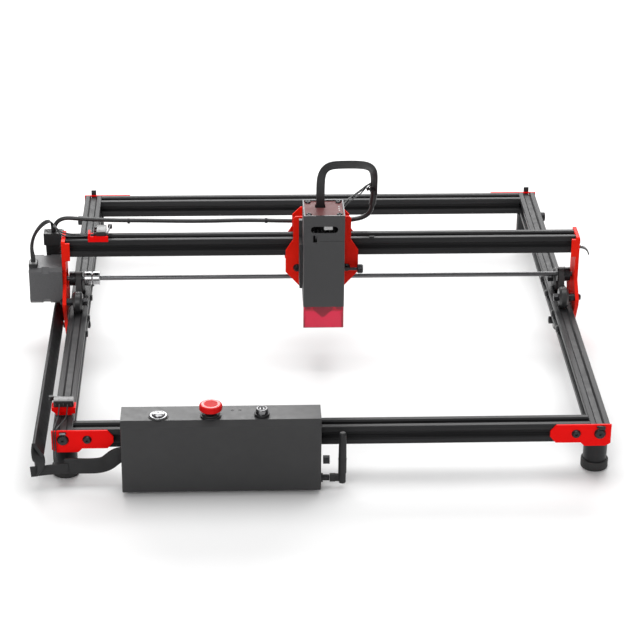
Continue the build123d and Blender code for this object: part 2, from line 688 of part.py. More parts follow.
def gantry_plate(side, hub_r):
    """An end plate: narrow where it holds the beam, wide at the wheels, pointed at the bottom."""
    outline = [
        (PLATE_TOP_HALF - 1.5, PLATE_TOP),
        (PLATE_TOP_HALF, PLATE_TOP - 1.5),
        (PLATE_TOP_HALF, SHAFT_Z),
        (PLATE_WIDE_HALF - 3, SHAFT_Z - 14),
        (PLATE_WIDE_HALF, WHEEL_Z),
        (PLATE_WIDE_HALF - 2, WHEEL_Z - 8),
        (11, LOWER_WHEEL_Z - 2),
        (7, LOWER_WHEEL_Z - 8),
    ]
    other = [(-y, z) for y, z in reversed(outline)]
    lower = PLATE_IN if side > 0 else -PLATE_OUT
    with BuildSketch(Plane.YZ.offset(lower)) as shape:
        Polygon(*outline, *other, align=None)
        with Locations((0, SHAFT_Z)):
            Circle(hub_r, mode=Mode.SUBTRACT)
        with Locations((-WHEEL_Y, WHEEL_Z), (WHEEL_Y, WHEEL_Z), (0, LOWER_WHEEL_Z)):
            Circle(AXLE_R + 0.1, mode=Mode.SUBTRACT)
        with Locations((0, BEAM_Z)):
            Circle(AXLE_R + 0.1, mode=Mode.SUBTRACT)
    extrude(shape.sketch, amount=PLATE_T)
    with BuildSketch(Plane.XY.offset(TAB_Z[0])) as shape:
        with Locations((side * (PLATE_IN - TAB_W / 2 + 0.5), -PLATE_TOP_HALF + 1.5)):
            Rectangle(TAB_W + 1, 3)
    extrude(shape.sketch, amount=TAB_Z[1] - TAB_Z[0])


BELT_EXIT_Z = BEAM_BOTTOM + BELT_DEPTH
with BuildPart() as left_gantry_plate:
    gantry_plate(-1, PILOT_R + 0.1)
    with BuildSketch(Plane.YZ.offset(-PLATE_OUT)):
        with Locations((0, SHAFT_Z)):
            with GridLocations(31, 31, 2, 2):
                Circle(1.6)
        with Locations((0, BELT_EXIT_Z)):
            Rectangle(BELT_W + 1.4, BELT_T + 1.2)
    extrude(amount=PLATE_T, mode=Mode.SUBTRACT)
left_gantry_plate.part.label = "left_gantry_plate"
export_step(left_gantry_plate.part, "parts/left_gantry_plate.step")

SHAFT_R = 2.5
with BuildPart() as right_gantry_plate:
    gantry_plate(1, SHAFT_R + FIT)
    with BuildSketch(Plane.YZ.offset(PLATE_IN)):
        with Locations((0, BELT_EXIT_Z)):
            Rectangle(BELT_W + 1.4, BELT_T + 1.2)
    extrude(amount=PLATE_T, mode=Mode.SUBTRACT)
right_gantry_plate.part.label = "right_gantry_plate"
export_step(right_gantry_plate.part, "parts/right_gantry_plate.step")

with BuildPart() as gantry_beam:
    with BuildSketch(Plane(origin=(-PLATE_IN, 0, BEAM_Z), x_dir=(0, 1, 0), z_dir=(1, 0, 0))):
        v_slot_section()
    extrude(amount=2 * PLATE_IN)
gantry_beam.part.label = "gantry_beam"
export_step(gantry_beam.part, "parts/gantry_beam.step")

SPACER_R = 4.0
NUT_R = 4.6
AXLE_HEAD_R = 4.2
GANTRY_AXLES = ((-WHEEL_Y, WHEEL_Z), (WHEEL_Y, WHEEL_Z), (0, LOWER_WHEEL_Z))


def axle(start, along, far, wheel_at, spacer_r=SPACER_R):
    """Bolt with its head outside a plate, a spacer on each side of the wheel, and a lock nut.

    Distances are counted inwards from the plate's outer face, where the bolt head sits.
    """
    x0, y0, z0 = start
    ax, ay, az = along
    screw(start, (-ax, -ay, -az), far, head_r=AXLE_HEAD_R, head_h=2.8)
    near_end = wheel_at - WHEEL_W / 2 - 0.15
    far_start = wheel_at + WHEEL_W / 2 + 0.15
    for begin, end, radius in ((PLATE_T, near_end, spacer_r), (far_start, far_start + 1.2, spacer_r)):
        at = (x0 + ax * begin, y0 + ay * begin, z0 + az * begin)
        with BuildSketch(plane_at(at, along)) as shape:
            Circle(radius)
        extrude(shape.sketch, amount=end - begin)
    begin = far_start + 1.2
    at = (x0 + ax * begin, y0 + ay * begin, z0 + az * begin)
    with BuildSketch(plane_at(at, along)) as shape:
        RegularPolygon(NUT_R, 6)
    extrude(shape.sketch, amount=4.0)


with BuildPart() as gantry_fasteners:
    for side in (-1, 1):
        for y, z in GANTRY_AXLES:
            reach = PLATE_OUT - RAIL_X + WHEEL_W / 2 + 5.8
            axle((side * PLATE_OUT, y, z), (-side, 0, 0), reach, PLATE_OUT - RAIL_X)
        screw((side * PLATE_OUT, 0, BEAM_Z), (side, 0, 0), PLATE_T + 10, shank_r=2.05)
gantry_fasteners.part.label = "gantry_fasteners"
export_step(gantry_fasteners.part, "parts/gantry_fasteners.step")


def stepper(face, bore_r, pilot_r, pilot_h):
    """A square stepper motor behind its mounting face, with notched corners and a shaft bore."""
    notch_l = 8.0
    notch_side = 8.6
    with BuildSketch(face) as shape:
        Rectangle(MOTOR, MOTOR)
        chamfer(shape.vertices(), MOTOR_CHAMFER)
    extrude(shape.sketch, amount=-MOTOR_L)
    with BuildSketch(face.offset(-(MOTOR_L - notch_l) / 2)) as shape:
        with GridLocations(MOTOR, MOTOR, 2, 2):
            Rectangle(notch_side, notch_side, rotation=45)
    extrude(shape.sketch, amount=-notch_l, mode=Mode.SUBTRACT)
    with BuildSketch(face) as shape:
        Circle(pilot_r)
    extrude(shape.sketch, amount=pilot_h)
    with BuildSketch(face.offset(pilot_h)) as shape:
        Circle(bore_r)
    extrude(shape.sketch, amount=-pilot_h - 14, mode=Mode.SUBTRACT)


with BuildPart() as y_motor:
    motor_face = Plane(origin=(-PLATE_OUT, 0, SHAFT_Z), x_dir=(0, 1, 0), z_dir=(1, 0, 0))
    stepper(motor_face, SHAFT_R + FIT, PILOT_R, 2.0)
    with BuildSketch(Plane.XY.offset(SHAFT_Z + MOTOR / 2)):
        with Locations((-PLATE_OUT - MOTOR_L + 4.6, -12.0)):
            Rectangle(9.0, 13.0)
    extrude(amount=4.4)
y_motor.part.label = "y_motor"
export_step(y_motor.part, "parts/y_motor.step")

with BuildPart() as x_belt:
    with BuildSketch(Plane(origin=(0, 0, BEAM_BOTTOM), x_dir=(1, 0, 0), z_dir=(0, 1, 0))):
        with BuildLine() as beam_route:
            belt_outline(PLATE_OUT + 3, CAR_WHEEL_X, WHEEL_UP, BEAM_BOTTOM - CAR_MOTOR_Z)
        trace(beam_route.line, line_width=BELT_T)
    extrude(amount=BELT_W / 2, both=True)
    with BuildSketch(Plane.XZ):
        with BuildLine() as tail:
            CenterArc((PLATE_OUT + 2.9, BELT_EXIT_Z - 10), 10, 90, -82)
        trace(tail.line, line_width=BELT_T)
    extrude(amount=BELT_W / 2, both=True)
x_belt.part.label = "x_belt"
export_step(x_belt.part, "parts/x_belt.step")

X_SWITCH_X = -240.5
X_SWITCH_Z = BEAM_TOP + 3.2
with BuildPart() as x_switch_bracket:
    with BuildSketch(Plane.XY.offset(BEAM_TOP)):
        with Locations((X_SWITCH_X - 3.5, -1.5)):
            Rectangle(19, 17)
    extrude(amount=1.5)
    with BuildSketch(Plane.XY.offset(X_SWITCH_Z - 1.7)):
        with Locations((X_SWITCH_X - 1.0, -1.5)):
            Rectangle(12, 17)
    extrude(amount=1.7)
    with BuildSketch(Plane(origin=(X_SWITCH_X - 3.5, -10, 0), x_dir=(1, 0, 0), z_dir=(0, 1, 0))):
        with Locations((0, -(BEAM_TOP + 1.8))):
            Rectangle(22, 6.4)
    extrude(amount=-1.4)
    with BuildSketch(Plane.XY.offset(BEAM_TOP)):
        with Locations((X_SWITCH_X - 13.2, -5)):
            Rectangle(2, 11)
    extrude(amount=8)
x_switch_bracket.part.label = "x_switch_bracket"
export_step(x_switch_bracket.part, "parts/x_switch_bracket.step")

QUARTER = math.pi / 2
with BuildPart() as x_limit_switch:
    microswitch(X_SWITCH_X, 0, X_SWITCH_Z, -QUARTER)
x_limit_switch.part.label = "x_limit_switch"
export_step(x_limit_switch.part, "parts/x_limit_switch.step")

with BuildPart() as x_switch_lever:
    switch_lever(X_SWITCH_X, 0, X_SWITCH_Z, -QUARTER)
x_switch_lever.part.label = "x_switch_lever"
export_step(x_switch_lever.part, "parts/x_switch_lever.step")

CLAMP_X = -PLATE_OUT - 12.0
with BuildPart() as cable_clamp:
    with BuildSketch(Plane.XY.offset(114)):
        with Locations((CLAMP_X, 29)):
            Rectangle(20, 14)
        with Locations((CLAMP_X, 30)):
            Rectangle(12, 7.4, mode=Mode.SUBTRACT)
    extrude(amount=14)
    with BuildSketch(Plane.XY.offset(110)):
        with Locations((-PLATE_OUT - 1.0, 23)):
            Rectangle(2, 22)
    extrude(amount=18)
cable_clamp.part.label = "cable_clamp"
export_step(cable_clamp.part, "parts/cable_clamp.step")

# ---------------------------------------------------------------- drive shaft of the gantry
COUPLING_R = 7.2
COUPLING = (-261.0, -244.0)
COUPLING_GAP = 0.8
JOIN_X = (COUPLING[0] + COUPLING[1]) / 2
with BuildPart() as drive_shafts:
    with BuildSketch(Plane(origin=(-PLATE_OUT - 10, 0, SHAFT_Z), z_dir=(1, 0, 0))):
        Circle(SHAFT_R)
    extrude(amount=JOIN_X - 1 + PLATE_OUT + 10)
    with BuildSketch(Plane(origin=(JOIN_X + 1, 0, SHAFT_Z), z_dir=(1, 0, 0))):
        Circle(SHAFT_R)
    extrude(amount=PLATE_OUT - 0.4 - JOIN_X - 1)
drive_shafts.part.label = "drive_shafts"
export_step(drive_shafts.part, "parts/drive_shafts.step")

with BuildPart() as shaft_coupling:
    half_l = (COUPLING[1] - COUPLING[0] - COUPLING_GAP) / 2
    for begin in (COUPLING[0], COUPLING[1] - half_l):
        with BuildSketch(Plane(origin=(begin, 0, SHAFT_Z), z_dir=(1, 0, 0))):
            Circle(COUPLING_R)
        half = extrude(amount=half_l)
        chamfer(half.edges().filter_by(GeomType.CIRCLE), 0.5)
    with BuildSketch(Plane(origin=(COUPLING[0] + 2, 0, SHAFT_Z), z_dir=(1, 0, 0))):
        Circle(COUPLING_R - 1.6)
    extrude(amount=COUPLING[1] - COUPLING[0] - 4)
    with BuildSketch(Plane(origin=(COUPLING[0], 0, SHAFT_Z), z_dir=(1, 0, 0))):
        Circle(SHAFT_R)
    extrude(amount=COUPLING[1] - COUPLING[0], mode=Mode.SUBTRACT)
shaft_coupling.part.label = "shaft_coupling"
export_step(shaft_coupling.part, "parts/shaft_coupling.step")

GROOVE_W = BELT_W + 1.0
HUB_L = 5.5


def pulley(centre, along, bore_r, hub_out):
    """A toothed belt pulley: hub, two flanges and a belt surface, centred on the belt."""
    cx, cy, cz = centre
    ax, ay, az = along

    def ring(begin, length, radius):
        at = (cx + ax * begin, cy + ay * begin, cz + az * begin)
        with BuildSketch(plane_at(at, along)) as shape:
            Circle(radius)
            Circle(bore_r, mode=Mode.SUBTRACT)
        extrude(shape.sketch, amount=length)

    ring(-GROOVE_W / 2 - 1, GROOVE_W + 2, PULLEY_R)
    ring(-GROOVE_W / 2 - 1, 1, PULLEY_FLANGE_R)
    ring(GROOVE_W / 2, 1, PULLEY_FLANGE_R)
    ring(GROOVE_W / 2 + 1 if hub_out else -GROOVE_W / 2 - 1 - HUB_L, HUB_L, PULLEY_FLANGE_R - 0.4)


with BuildPart() as y_pulleys:
    for side in (-1, 1):
        pulley((side * RAIL_X, 0, SHAFT_Z), (side, 0, 0), SHAFT_R, True)
y_pulleys.part.label = "y_pulleys"
export_step(y_pulleys.part, "parts/y_pulleys.step")


def gantry_wheel_pair(y, z):
    """The V wheels of both side rails that share one axle line."""
    for side in (-1, 1):
        centre = (side * RAIL_X, y, z)
        with BuildSketch(Plane(origin=centre, x_dir=(0, 0, 1), z_dir=(0, 1, 0))) as shape:
            wheel_section()
        revolve(shape.sketch, axis=Axis(centre, (1, 0, 0)))


with BuildPart() as front_y_wheels:
    gantry_wheel_pair(-WHEEL_Y, WHEEL_Z)
front_y_wheels.part.label = "front_y_wheels"
export_step(front_y_wheels.part, "parts/front_y_wheels.step")

with BuildPart() as rear_y_wheels:
    gantry_wheel_pair(WHEEL_Y, WHEEL_Z)
rear_y_wheels.part.label = "rear_y_wheels"
export_step(rear_y_wheels.part, "parts/rear_y_wheels.step")

with BuildPart() as lower_y_wheels:
    gantry_wheel_pair(0, LOWER_WHEEL_Z)
lower_y_wheels.part.label = "lower_y_wheels"
export_step(lower_y_wheels.part, "parts/lower_y_wheels.step")

# ================================================================ carriage
CAR_REAR = -CAR_FRONT
CAR_AXLES = ((-CAR_WHEEL_X, CAR_LOW_Z), (CAR_WHEEL_X, CAR_LOW_Z), (0, CAR_TOP_Z))
CAR_NARROW = 31.6
CAR_WIDE = 39.7
CAR_LOW_HALF = 22.0


def carriage_plate(front_face, top, corner, hub_r):
    """One of the two plates that clamp the wheels of the carriage, seen from the front."""
    outline = [
        (CAR_NARROW - corner, top),
        (CAR_NARROW, top - corner),
        (CAR_NARROW, BEAM_TOP + 3),
        (CAR_WIDE, BEAM_TOP - 10),
        (CAR_WIDE, CAR_LOW_Z - 5),
        (CAR_LOW_HALF, CAR_LOW_Z - 25),
    ]
    other = [(-x, z) for x, z in reversed(outline)]
    with BuildSketch(Plane(origin=(0, front_face, 0), x_dir=(1, 0, 0), z_dir=(0, -1, 0))) as shape:
        Polygon(*outline, *other, align=None)
        with Locations(*CAR_AXLES):
            Circle(AXLE_R + 0.1, mode=Mode.SUBTRACT)
        with Locations((0, CAR_MOTOR_Z)):
            Circle(hub_r, mode=Mode.SUBTRACT)
    extrude(shape.sketch, amount=-CAR_T)


with BuildPart() as carriage_front_plate:
    carriage_plate(CAR_FRONT, RAIL_TOP + 107.5, 2.5, 4.5)
carriage_front_plate.part.label = "carriage_front_plate"
export_step(carriage_front_plate.part, "parts/carriage_front_plate.step")

with BuildPart() as carriage_rear_plate:
    carriage_plate(CAR_REAR - CAR_T, RAIL_TOP + 102.5, 9.0, PILOT_R + 0.1)
carriage_rear_plate.part.label = "carriage_rear_plate"
export_step(carriage_rear_plate.part, "parts/carriage_rear_plate.step")

with BuildPart() as carriage_axles:
    for x, z in CAR_AXLES:
        screw((x, CAR_FRONT, z), (0, -1, 0), CAR_REAR - CAR_FRONT + 0.4, head_r=4.6, head_h=2.6)
        for begin in (CAR_FRONT + CAR_T, WHEEL_W / 2 + 0.15):
            length = -CAR_FRONT - CAR_T - WHEEL_W / 2 - 0.15
            with BuildSketch(Plane(origin=(x, begin, z), z_dir=(0, 1, 0))):
                Circle(SPACER_R)
            extrude(amount=length)
    for x, z in CAR_AXLES[:1]:
        with BuildSketch(Plane(origin=(x, CAR_REAR, z), z_dir=(0, 1, 0))):
            RegularPolygon(NUT_R, 6)
        extrude(amount=0.4)
carriage_axles.part.label = "carriage_axles"
export_step(carriage_axles.part, "parts/carriage_axles.step")

with BuildPart() as x_motor:
    x_face = Plane(origin=(0, CAR_REAR, CAR_MOTOR_Z), x_dir=(1, 0, 0), z_dir=(0, -1, 0))
    stepper(x_face, SHAFT_R + FIT, PILOT_R, CAR_T - 0.2)
    with BuildSketch(Plane.XY.offset(CAR_MOTOR_Z + MOTOR / 2)):
        with Locations((0, CAR_REAR + MOTOR_L - 4.6)):
            Rectangle(13, 9)
    extrude(amount=4.4)
x_motor.part.label = "x_motor"
export_step(x_motor.part, "parts/x_motor.step")

with BuildPart() as x_pulley:
    pulley((0, 0, CAR_MOTOR_Z), (0, 1, 0), SHAFT_R, True)
    with BuildSketch(Plane(origin=(0, -8, CAR_MOTOR_Z), z_dir=(0, 1, 0))):
        Circle(SHAFT_R)
    extrude(amount=CAR_REAR + 10 + 8)
x_pulley.part.label = "x_pulley"
export_step(x_pulley.part, "parts/x_pulley.step")


def carriage_wheel(x, z):
    """One V wheel of the carriage, on an axle that runs front to back."""
    centre = (x, 0, z)
    with BuildSketch(Plane(origin=centre, x_dir=(0, 0, 1), z_dir=(-1, 0, 0))) as shape:
        wheel_section()
    revolve(shape.sketch, axis=Axis(centre, (0, 1, 0)))


with BuildPart() as left_x_wheel:
    carriage_wheel(*CAR_AXLES[0])
left_x_wheel.part.label = "left_x_wheel"
export_step(left_x_wheel.part, "parts/left_x_wheel.step")

with BuildPart() as right_x_wheel:
    carriage_wheel(*CAR_AXLES[1])
right_x_wheel.part.label = "right_x_wheel"
export_step(right_x_wheel.part, "parts/right_x_wheel.step")

with BuildPart() as upper_x_wheel:
    carriage_wheel(*CAR_AXLES[2])
upper_x_wheel.part.label = "upper_x_wheel"
export_step(upper_x_wheel.part, "parts/upper_x_wheel.step")

MOUNT_Z = (97.5, 163.7)
MOUNT_STEP = -22.9  # the mount is narrower behind this, clear of the axle screws
RIB_HALF = 6.0
RIB_FLARE = 2.0
RIB_DEEP = 5.0
THUMB_Y = -25.4
THUMB_Z = 104.3
THUMB_R = 1.6
THUMB_TIP = 8.3
KNOB_X = 38.5
KNOB_R = 4.6
KNOB_L = 6.3


def dovetail(grow, mode):
    """Dovetail between the head and its mount, seen from above."""
    back = HEAD_BACK + RIB_DEEP + grow
    Polygon(
        (-RIB_HALF - grow, HEAD_BACK - 0.2),
        (RIB_HALF + grow, HEAD_BACK - 0.2),
        (RIB_HALF + RIB_FLARE + grow, back),
        (-RIB_HALF - RIB_FLARE - grow, back),
        align=None,
        mode=mode,
    )


FLANGE_Z = (93.0, 145.0)  # the cheek of the mount beside the head
with BuildPart() as laser_mount:
    mount_front = HEAD_BACK + CLEAR
    with BuildSketch(Plane.XY.offset(MOUNT_Z[0])):
        with Locations((0, (MOUNT_STEP + CAR_FRONT) / 2)):
            Rectangle(42, CAR_FRONT - MOUNT_STEP)
        with Locations((-1.7, (mount_front + MOUNT_STEP) / 2)):
            Rectangle(47.6, MOUNT_STEP - mount_front)
        dovetail(CLEAR, Mode.SUBTRACT)
    extrude(amount=MOUNT_Z[1] - MOUNT_Z[0])
    with BuildSketch(Plane.XY.offset(FLANGE_Z[0])):
        with Locations((-HEAD_W / 2 - CLEAR - 1.55, (MOUNT_STEP - 50) / 2)):
            Rectangle(3.1, MOUNT_STEP + 50)
    extrude(amount=FLANGE_Z[1] - FLANGE_Z[0])
    with BuildSketch(Plane(origin=(0, CAR_FRONT, CAR_TOP_Z), z_dir=(0, -1, 0))):
        Circle(5.3)
    extrude(amount=4, mode=Mode.SUBTRACT)
    with BuildSketch(Plane(origin=(0, THUMB_Y, THUMB_Z), z_dir=(1, 0, 0))):
        Circle(THUMB_R + FIT)
    extrude(amount=30, mode=Mode.SUBTRACT)
laser_mount.part.label = "laser_mount"
export_step(laser_mount.part, "parts/laser_mount.step")

with BuildPart() as thumb_screw:
    with BuildSketch(Plane(origin=(THUMB_TIP, THUMB_Y, THUMB_Z), z_dir=(1, 0, 0))):
        Circle(THUMB_R)
    extrude(amount=KNOB_X - THUMB_TIP)
    with BuildSketch(Plane(origin=(KNOB_X, THUMB_Y, THUMB_Z), z_dir=(1, 0, 0))):
        Circle(KNOB_R)
    knob = extrude(amount=KNOB_L)
    chamfer(knob.edges().filter_by(GeomType.CIRCLE), 0.6)
thumb_screw.part.label = "thumb_screw"
export_step(thumb_screw.part, "parts/thumb_screw.step")

# ================================================================ laser head
HEAD_D = HEAD_BACK - HEAD_FRONT
INNER_W = HEAD_W - 2 * HEAD_WALL
INNER_D = HEAD_D - 2 * HEAD_WALL
TOP_PLATE_Z = HEAD_TOP - 2.6
RIBBON_X = -3.5
RIBBON_Y = -44.0
with BuildPart() as head_housing:
    with BuildSketch(Plane.XY.offset(HEAD_BOTTOM)):
        with Locations((0, HEAD_Y)):
            RectangleRounded(HEAD_W, HEAD_D, 1.2)
    extrude(amount=HEAD_TOP - HEAD_BOTTOM)
    with BuildSketch(Plane.XY.offset(HEAD_BOTTOM)):
        with Locations((0, HEAD_Y)):
            Rectangle(INNER_W, INNER_D)
    extrude(amount=HEAD_TOP - HEAD_BOTTOM, mode=Mode.SUBTRACT)
    with BuildSketch(Plane.XY.offset(MOUNT_Z[0] - 7.5)):
        dovetail(0, Mode.ADD)
    extrude(amount=HEAD_TOP - 2 - MOUNT_Z[0] + 7.5)
    with BuildSketch(Plane(origin=(0, HEAD_FRONT, 0), x_dir=(1, 0, 0), z_dir=(0, -1, 0))):
        with Locations((0.2, RAIL_TOP + 115.0)):
            SlotOverall(29.0, 7.6)
        with Locations((-9.7, RAIL_TOP + 104.5)):
            RectangleRounded(4.4, 8.4, 1.0)
    extrude(amount=-HEAD_WALL - 1, mode=Mode.SUBTRACT)
head_housing.part.label = "head_housing"
export_step(head_housing.part, "parts/head_housing.step")

TOP_SCREW_X = 16.3
TOP_SCREW_Y = 16.9
with BuildPart() as head_top_plate:
    with BuildSketch(Plane.XY.offset(TOP_PLATE_Z)):
        with Locations((0, HEAD_Y)):
            Rectangle(INNER_W - 0.1, INNER_D - 0.1)
            with GridLocations(2 * TOP_SCREW_X, 2 * TOP_SCREW_Y, 2, 2):
                Circle(1.6, mode=Mode.SUBTRACT)
        with Locations((RIBBON_X, RIBBON_Y + 0.5)):
            Rectangle(11, 9, mode=Mode.SUBTRACT)
    extrude(amount=1.8)
    for sx in (-1, 1):
        for sy in (-1, 1):
            at = (sx * TOP_SCREW_X, HEAD_Y + sy * TOP_SCREW_Y, TOP_PLATE_Z + 1.8)
            screw(at, (0, 0, 1), 1.8, head_r=2.9, head_h=1.6, shank_r=1.6)
head_top_plate.part.label = "head_top_plate"
export_step(head_top_plate.part, "parts/head_top_plate.step")

SINK_Z = (98.0, 164.0)
with BuildPart() as heat_sink:
    with BuildSketch(Plane.XY.offset(SINK_Z[0])):
        with Locations((0, HEAD_Y)):
            Rectangle(38, 30)
            with Locations((0, -10.5), (0, 10.5)):
                with GridLocations(4.2, 1, 8, 1):
                    Rectangle(2.2, 9.2, mode=Mode.SUBTRACT)
    extrude(amount=SINK_Z[1] - SINK_Z[0])
    with BuildSketch(Plane.XY.offset(SINK_Z[1])):
        with Locations((0, HEAD_Y)):
            Circle(1.5)
    extrude(amount=8)
heat_sink.part.label = "heat_sink"
export_step(heat_sink.part, "parts/heat_sink.step")

NOZZLE_R = 11.0
NOZZLE_TIP = 59.8
with BuildPart() as laser_nozzle:
    with BuildSketch(Plane(origin=(0, HEAD_Y, 0), x_dir=(1, 0, 0), z_dir=(0, -1, 0))):
        Polygon(
            (1.5, NOZZLE_TIP),
            (2.6, NOZZLE_TIP),
            (NOZZLE_R, NOZZLE_TIP + 9.2),
            (NOZZLE_R, SINK_Z[0]),
            (1.5, SINK_Z[0]),
            align=None,
        )
    revolve(axis=Axis((0, HEAD_Y, 0), (0, 0, 1)))
laser_nozzle.part.label = "laser_nozzle"
export_step(laser_nozzle.part, "parts/laser_nozzle.step")

FAN_Z = 165.5
FAN_R = 15.6
BLADES = 7
with BuildPart() as cooling_fan:
    with BuildSketch(Plane.XY.offset(FAN_Z)):
        with Locations((0, HEAD_Y)):
            Circle(6.5)
            Circle(1.5 + FIT, mode=Mode.SUBTRACT)
    extrude(amount=7)
    with BuildSketch(Plane.XY.offset(FAN_Z + 7)):
        with Locations((0, HEAD_Y)):
            Circle(6.5)
    extrude(amount=1.5)
    with BuildSketch(Plane.XY.offset(FAN_Z)):
        with Locations((0, HEAD_Y)):
            with PolarLocations(0, BLADES):
                Polygon((6, -1), (FAN_R, 3.2), (FAN_R - 0.5, 4.8), (6, 0.6), align=None)
    extrude(amount=7.5)
cooling_fan.part.label = "cooling_fan"
export_step(cooling_fan.part, "parts/cooling_fan.step")

SHIELD_T = 2.0
with BuildPart() as laser_shield:
    with BuildSketch(Plane.XY.offset(SHIELD_BOTTOM)):
        with Locations((0, HEAD_Y)):
            RectangleRounded(HEAD_W - 0.4, HEAD_D - 0.4, 1.0)
            Rectangle(HEAD_W - 0.4 - 2 * SHIELD_T, HEAD_D - 0.4 - 2 * SHIELD_T, mode=Mode.SUBTRACT)
    extrude(amount=HEAD_BOTTOM - SHIELD_BOTTOM)
laser_shield.part.label = "laser_shield"
export_step(laser_shield.part, "parts/laser_shield.step")


# ================================================================ cables
def bend_radii(points):
    """Arc radius for each corner of a route: as large as its two runs allow."""
    radii = []
    for before, at, after in zip(points, points[1:], points[2:]):
        first = Vector(*at) - Vector(*before)
        second = Vector(*after) - Vector(*at)
        shorter = min(first.length, second.length)
        half_turn = math.radians(first.get_angle(second)) / 2
        radii.append(0.45 * shorter / math.tan(half_turn))
    return radii


def cable(name, points, radius):
    """A round cable along straight runs joined by arcs, swept in the open part."""
    radii = bend_radii(points)
    print(name, "bend radii", [round(r, 1) for r in radii])
    with BuildLine() as route:
        FilletPolyline(*points, radius=radii)
    start = Plane(origin=points[0], z_dir=Vector(*points[1]) - Vector(*points[0]))
    with BuildSketch(start) as shape:
        Circle(radius)
    sweep(shape.sketch, path=route.wire())


CABLE_Y = 27.5
CABLE_JOIN_X = 22.0  # where the head's ribbon leaves the cable along the beam
HEAD_RIBBON_ROUTE = [
    (RIBBON_X, RIBBON_Y, 180.0),
    (RIBBON_X, RIBBON_Y, 207.0),
    (3.0, RIBBON_Y + 3, 228.0),
    (26.0, -20.0, 226.0),
    (46.0, 4.0, 214.0),
    (57.0, 22.0, 194.0),
    (57.0, CABLE_Y, 168.0),
    (48.0, CABLE_Y, 147.0),
    (CABLE_JOIN_X, CABLE_Y, 139.0),
]
BEAM_CABLE_ROUTE = [
    (CLAMP_X, 30.0, 114.0),
    (CLAMP_X, 30.0, 133.0),
    (CLAMP_X + 11, 28.8, 144.5),
    (CLAMP_X + 30, CABLE_Y, 143.5),
    (CLAMP_X + 60, CABLE_Y, 141.2),
    (-190.0, CABLE_Y + 0.4, 140.6),
    (-135.0, CABLE_Y, 139.4),
    (-80.0, CABLE_Y + 0.4, 140.0),
    (-28.0, CABLE_Y, 138.6),
    (CABLE_JOIN_X - 1.0, CABLE_Y, 139.0),
]
with BuildPart() as head_ribbon:
    cable("head_ribbon", HEAD_RIBBON_ROUTE, 2.5)
head_ribbon.part.label = "head_ribbon"
export_step(head_ribbon.part, "parts/head_ribbon.step")

with BuildPart() as beam_cable:
    cable("beam_cable", BEAM_CABLE_ROUTE, 2.3)
beam_cable.part.label = "beam_cable"
export_step(beam_cable.part, "parts/beam_cable.step")

BAND_X = -290.5
BAND_T = 4.0
BAND_H = 14.0
BAND_Z = 46.5
FRONT_BAND_Y = -304.0
FRONT_BAND_T = 3.0
FRONT_BAND_Z = (12.5, 29.5)
BAND_END = -316.0
BAND_TURN = -226.0  # where the front band starts to rise to its slot in the box
with BuildPart() as side_ribbon:
    with BuildSketch(Plane.YZ.offset(BAND_X - BAND_T / 2)):
        with BuildLine() as band:
            FilletPolyline((30, 114), (30, BAND_Z), (BAND_END, BAND_Z), radius=20)
        trace(band.line, line_width=BAND_H)
    extrude(amount=BAND_T)
    with BuildSketch(Plane.XY.offset(FRONT_BAND_Z[0])):
        with Locations((BAND_X, (BAND_END + FRONT_BAND_Y) / 2)):
            Rectangle(BAND_T, FRONT_BAND_Y - BAND_END)
    extrude(amount=BAND_Z + BAND_H / 2 - FRONT_BAND_Z[0])
    with BuildSketch(Plane.XY.offset(FRONT_BAND_Z[0])):
        with Locations((BAND_X - BAND_T / 2, FRONT_BAND_Y)):
            Rectangle(BAND_TURN - BAND_X + BAND_T / 2, FRONT_BAND_T, align=(Align.MIN, Align.CENTER))
    extrude(amount=FRONT_BAND_Z[1] - FRONT_BAND_Z[0])
    with BuildSketch(Plane(origin=(0, FRONT_BAND_Y, 0), x_dir=(1, 0, 0), z_dir=(0, -1, 0))):
        Polygon(
            (BAND_TURN - 2, FRONT_BAND_Z[0]),
            (BAND_TURN, FRONT_BAND_Z[0]),
            (BOX_L - 3.5, CABLE_SLOT_Z - 8.2),
            (BOX_L + SHEET, CABLE_SLOT_Z - 8.2),
            (BOX_L + SHEET, CABLE_SLOT_Z + 8.2),
            (BOX_L - 3.5, CABLE_SLOT_Z + 8.2),
            (BAND_TURN - 2, FRONT_BAND_Z[1]),
            align=None,
        )
    extrude(amount=FRONT_BAND_T / 2, both=True)
side_ribbon.part.label = "side_ribbon"
export_step(side_ribbon.part, "parts/side_ribbon.step")
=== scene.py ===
"""Looks of the desktop laser cutter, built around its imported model. Metres, in the model's frame:
origin at the centre of the frame on the table, +X right, +Y back, +Z up."""
import math

import bmesh
import bpy
from mathutils import Matrix, Vector


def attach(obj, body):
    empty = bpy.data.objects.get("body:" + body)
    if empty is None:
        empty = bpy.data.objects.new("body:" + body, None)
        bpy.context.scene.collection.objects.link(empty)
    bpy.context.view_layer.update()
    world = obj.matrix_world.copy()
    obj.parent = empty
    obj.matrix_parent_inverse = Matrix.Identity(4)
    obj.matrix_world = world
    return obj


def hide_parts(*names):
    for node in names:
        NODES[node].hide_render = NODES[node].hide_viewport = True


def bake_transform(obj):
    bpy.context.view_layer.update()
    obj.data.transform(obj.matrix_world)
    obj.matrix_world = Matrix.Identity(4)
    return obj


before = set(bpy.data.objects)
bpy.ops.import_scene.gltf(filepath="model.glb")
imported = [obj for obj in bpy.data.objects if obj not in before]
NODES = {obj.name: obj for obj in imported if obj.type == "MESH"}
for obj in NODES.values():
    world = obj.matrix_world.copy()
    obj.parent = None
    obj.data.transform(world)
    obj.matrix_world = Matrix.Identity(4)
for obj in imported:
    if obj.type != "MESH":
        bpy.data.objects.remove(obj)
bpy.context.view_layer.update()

MM = 0.001
SCENE = bpy.context.scene

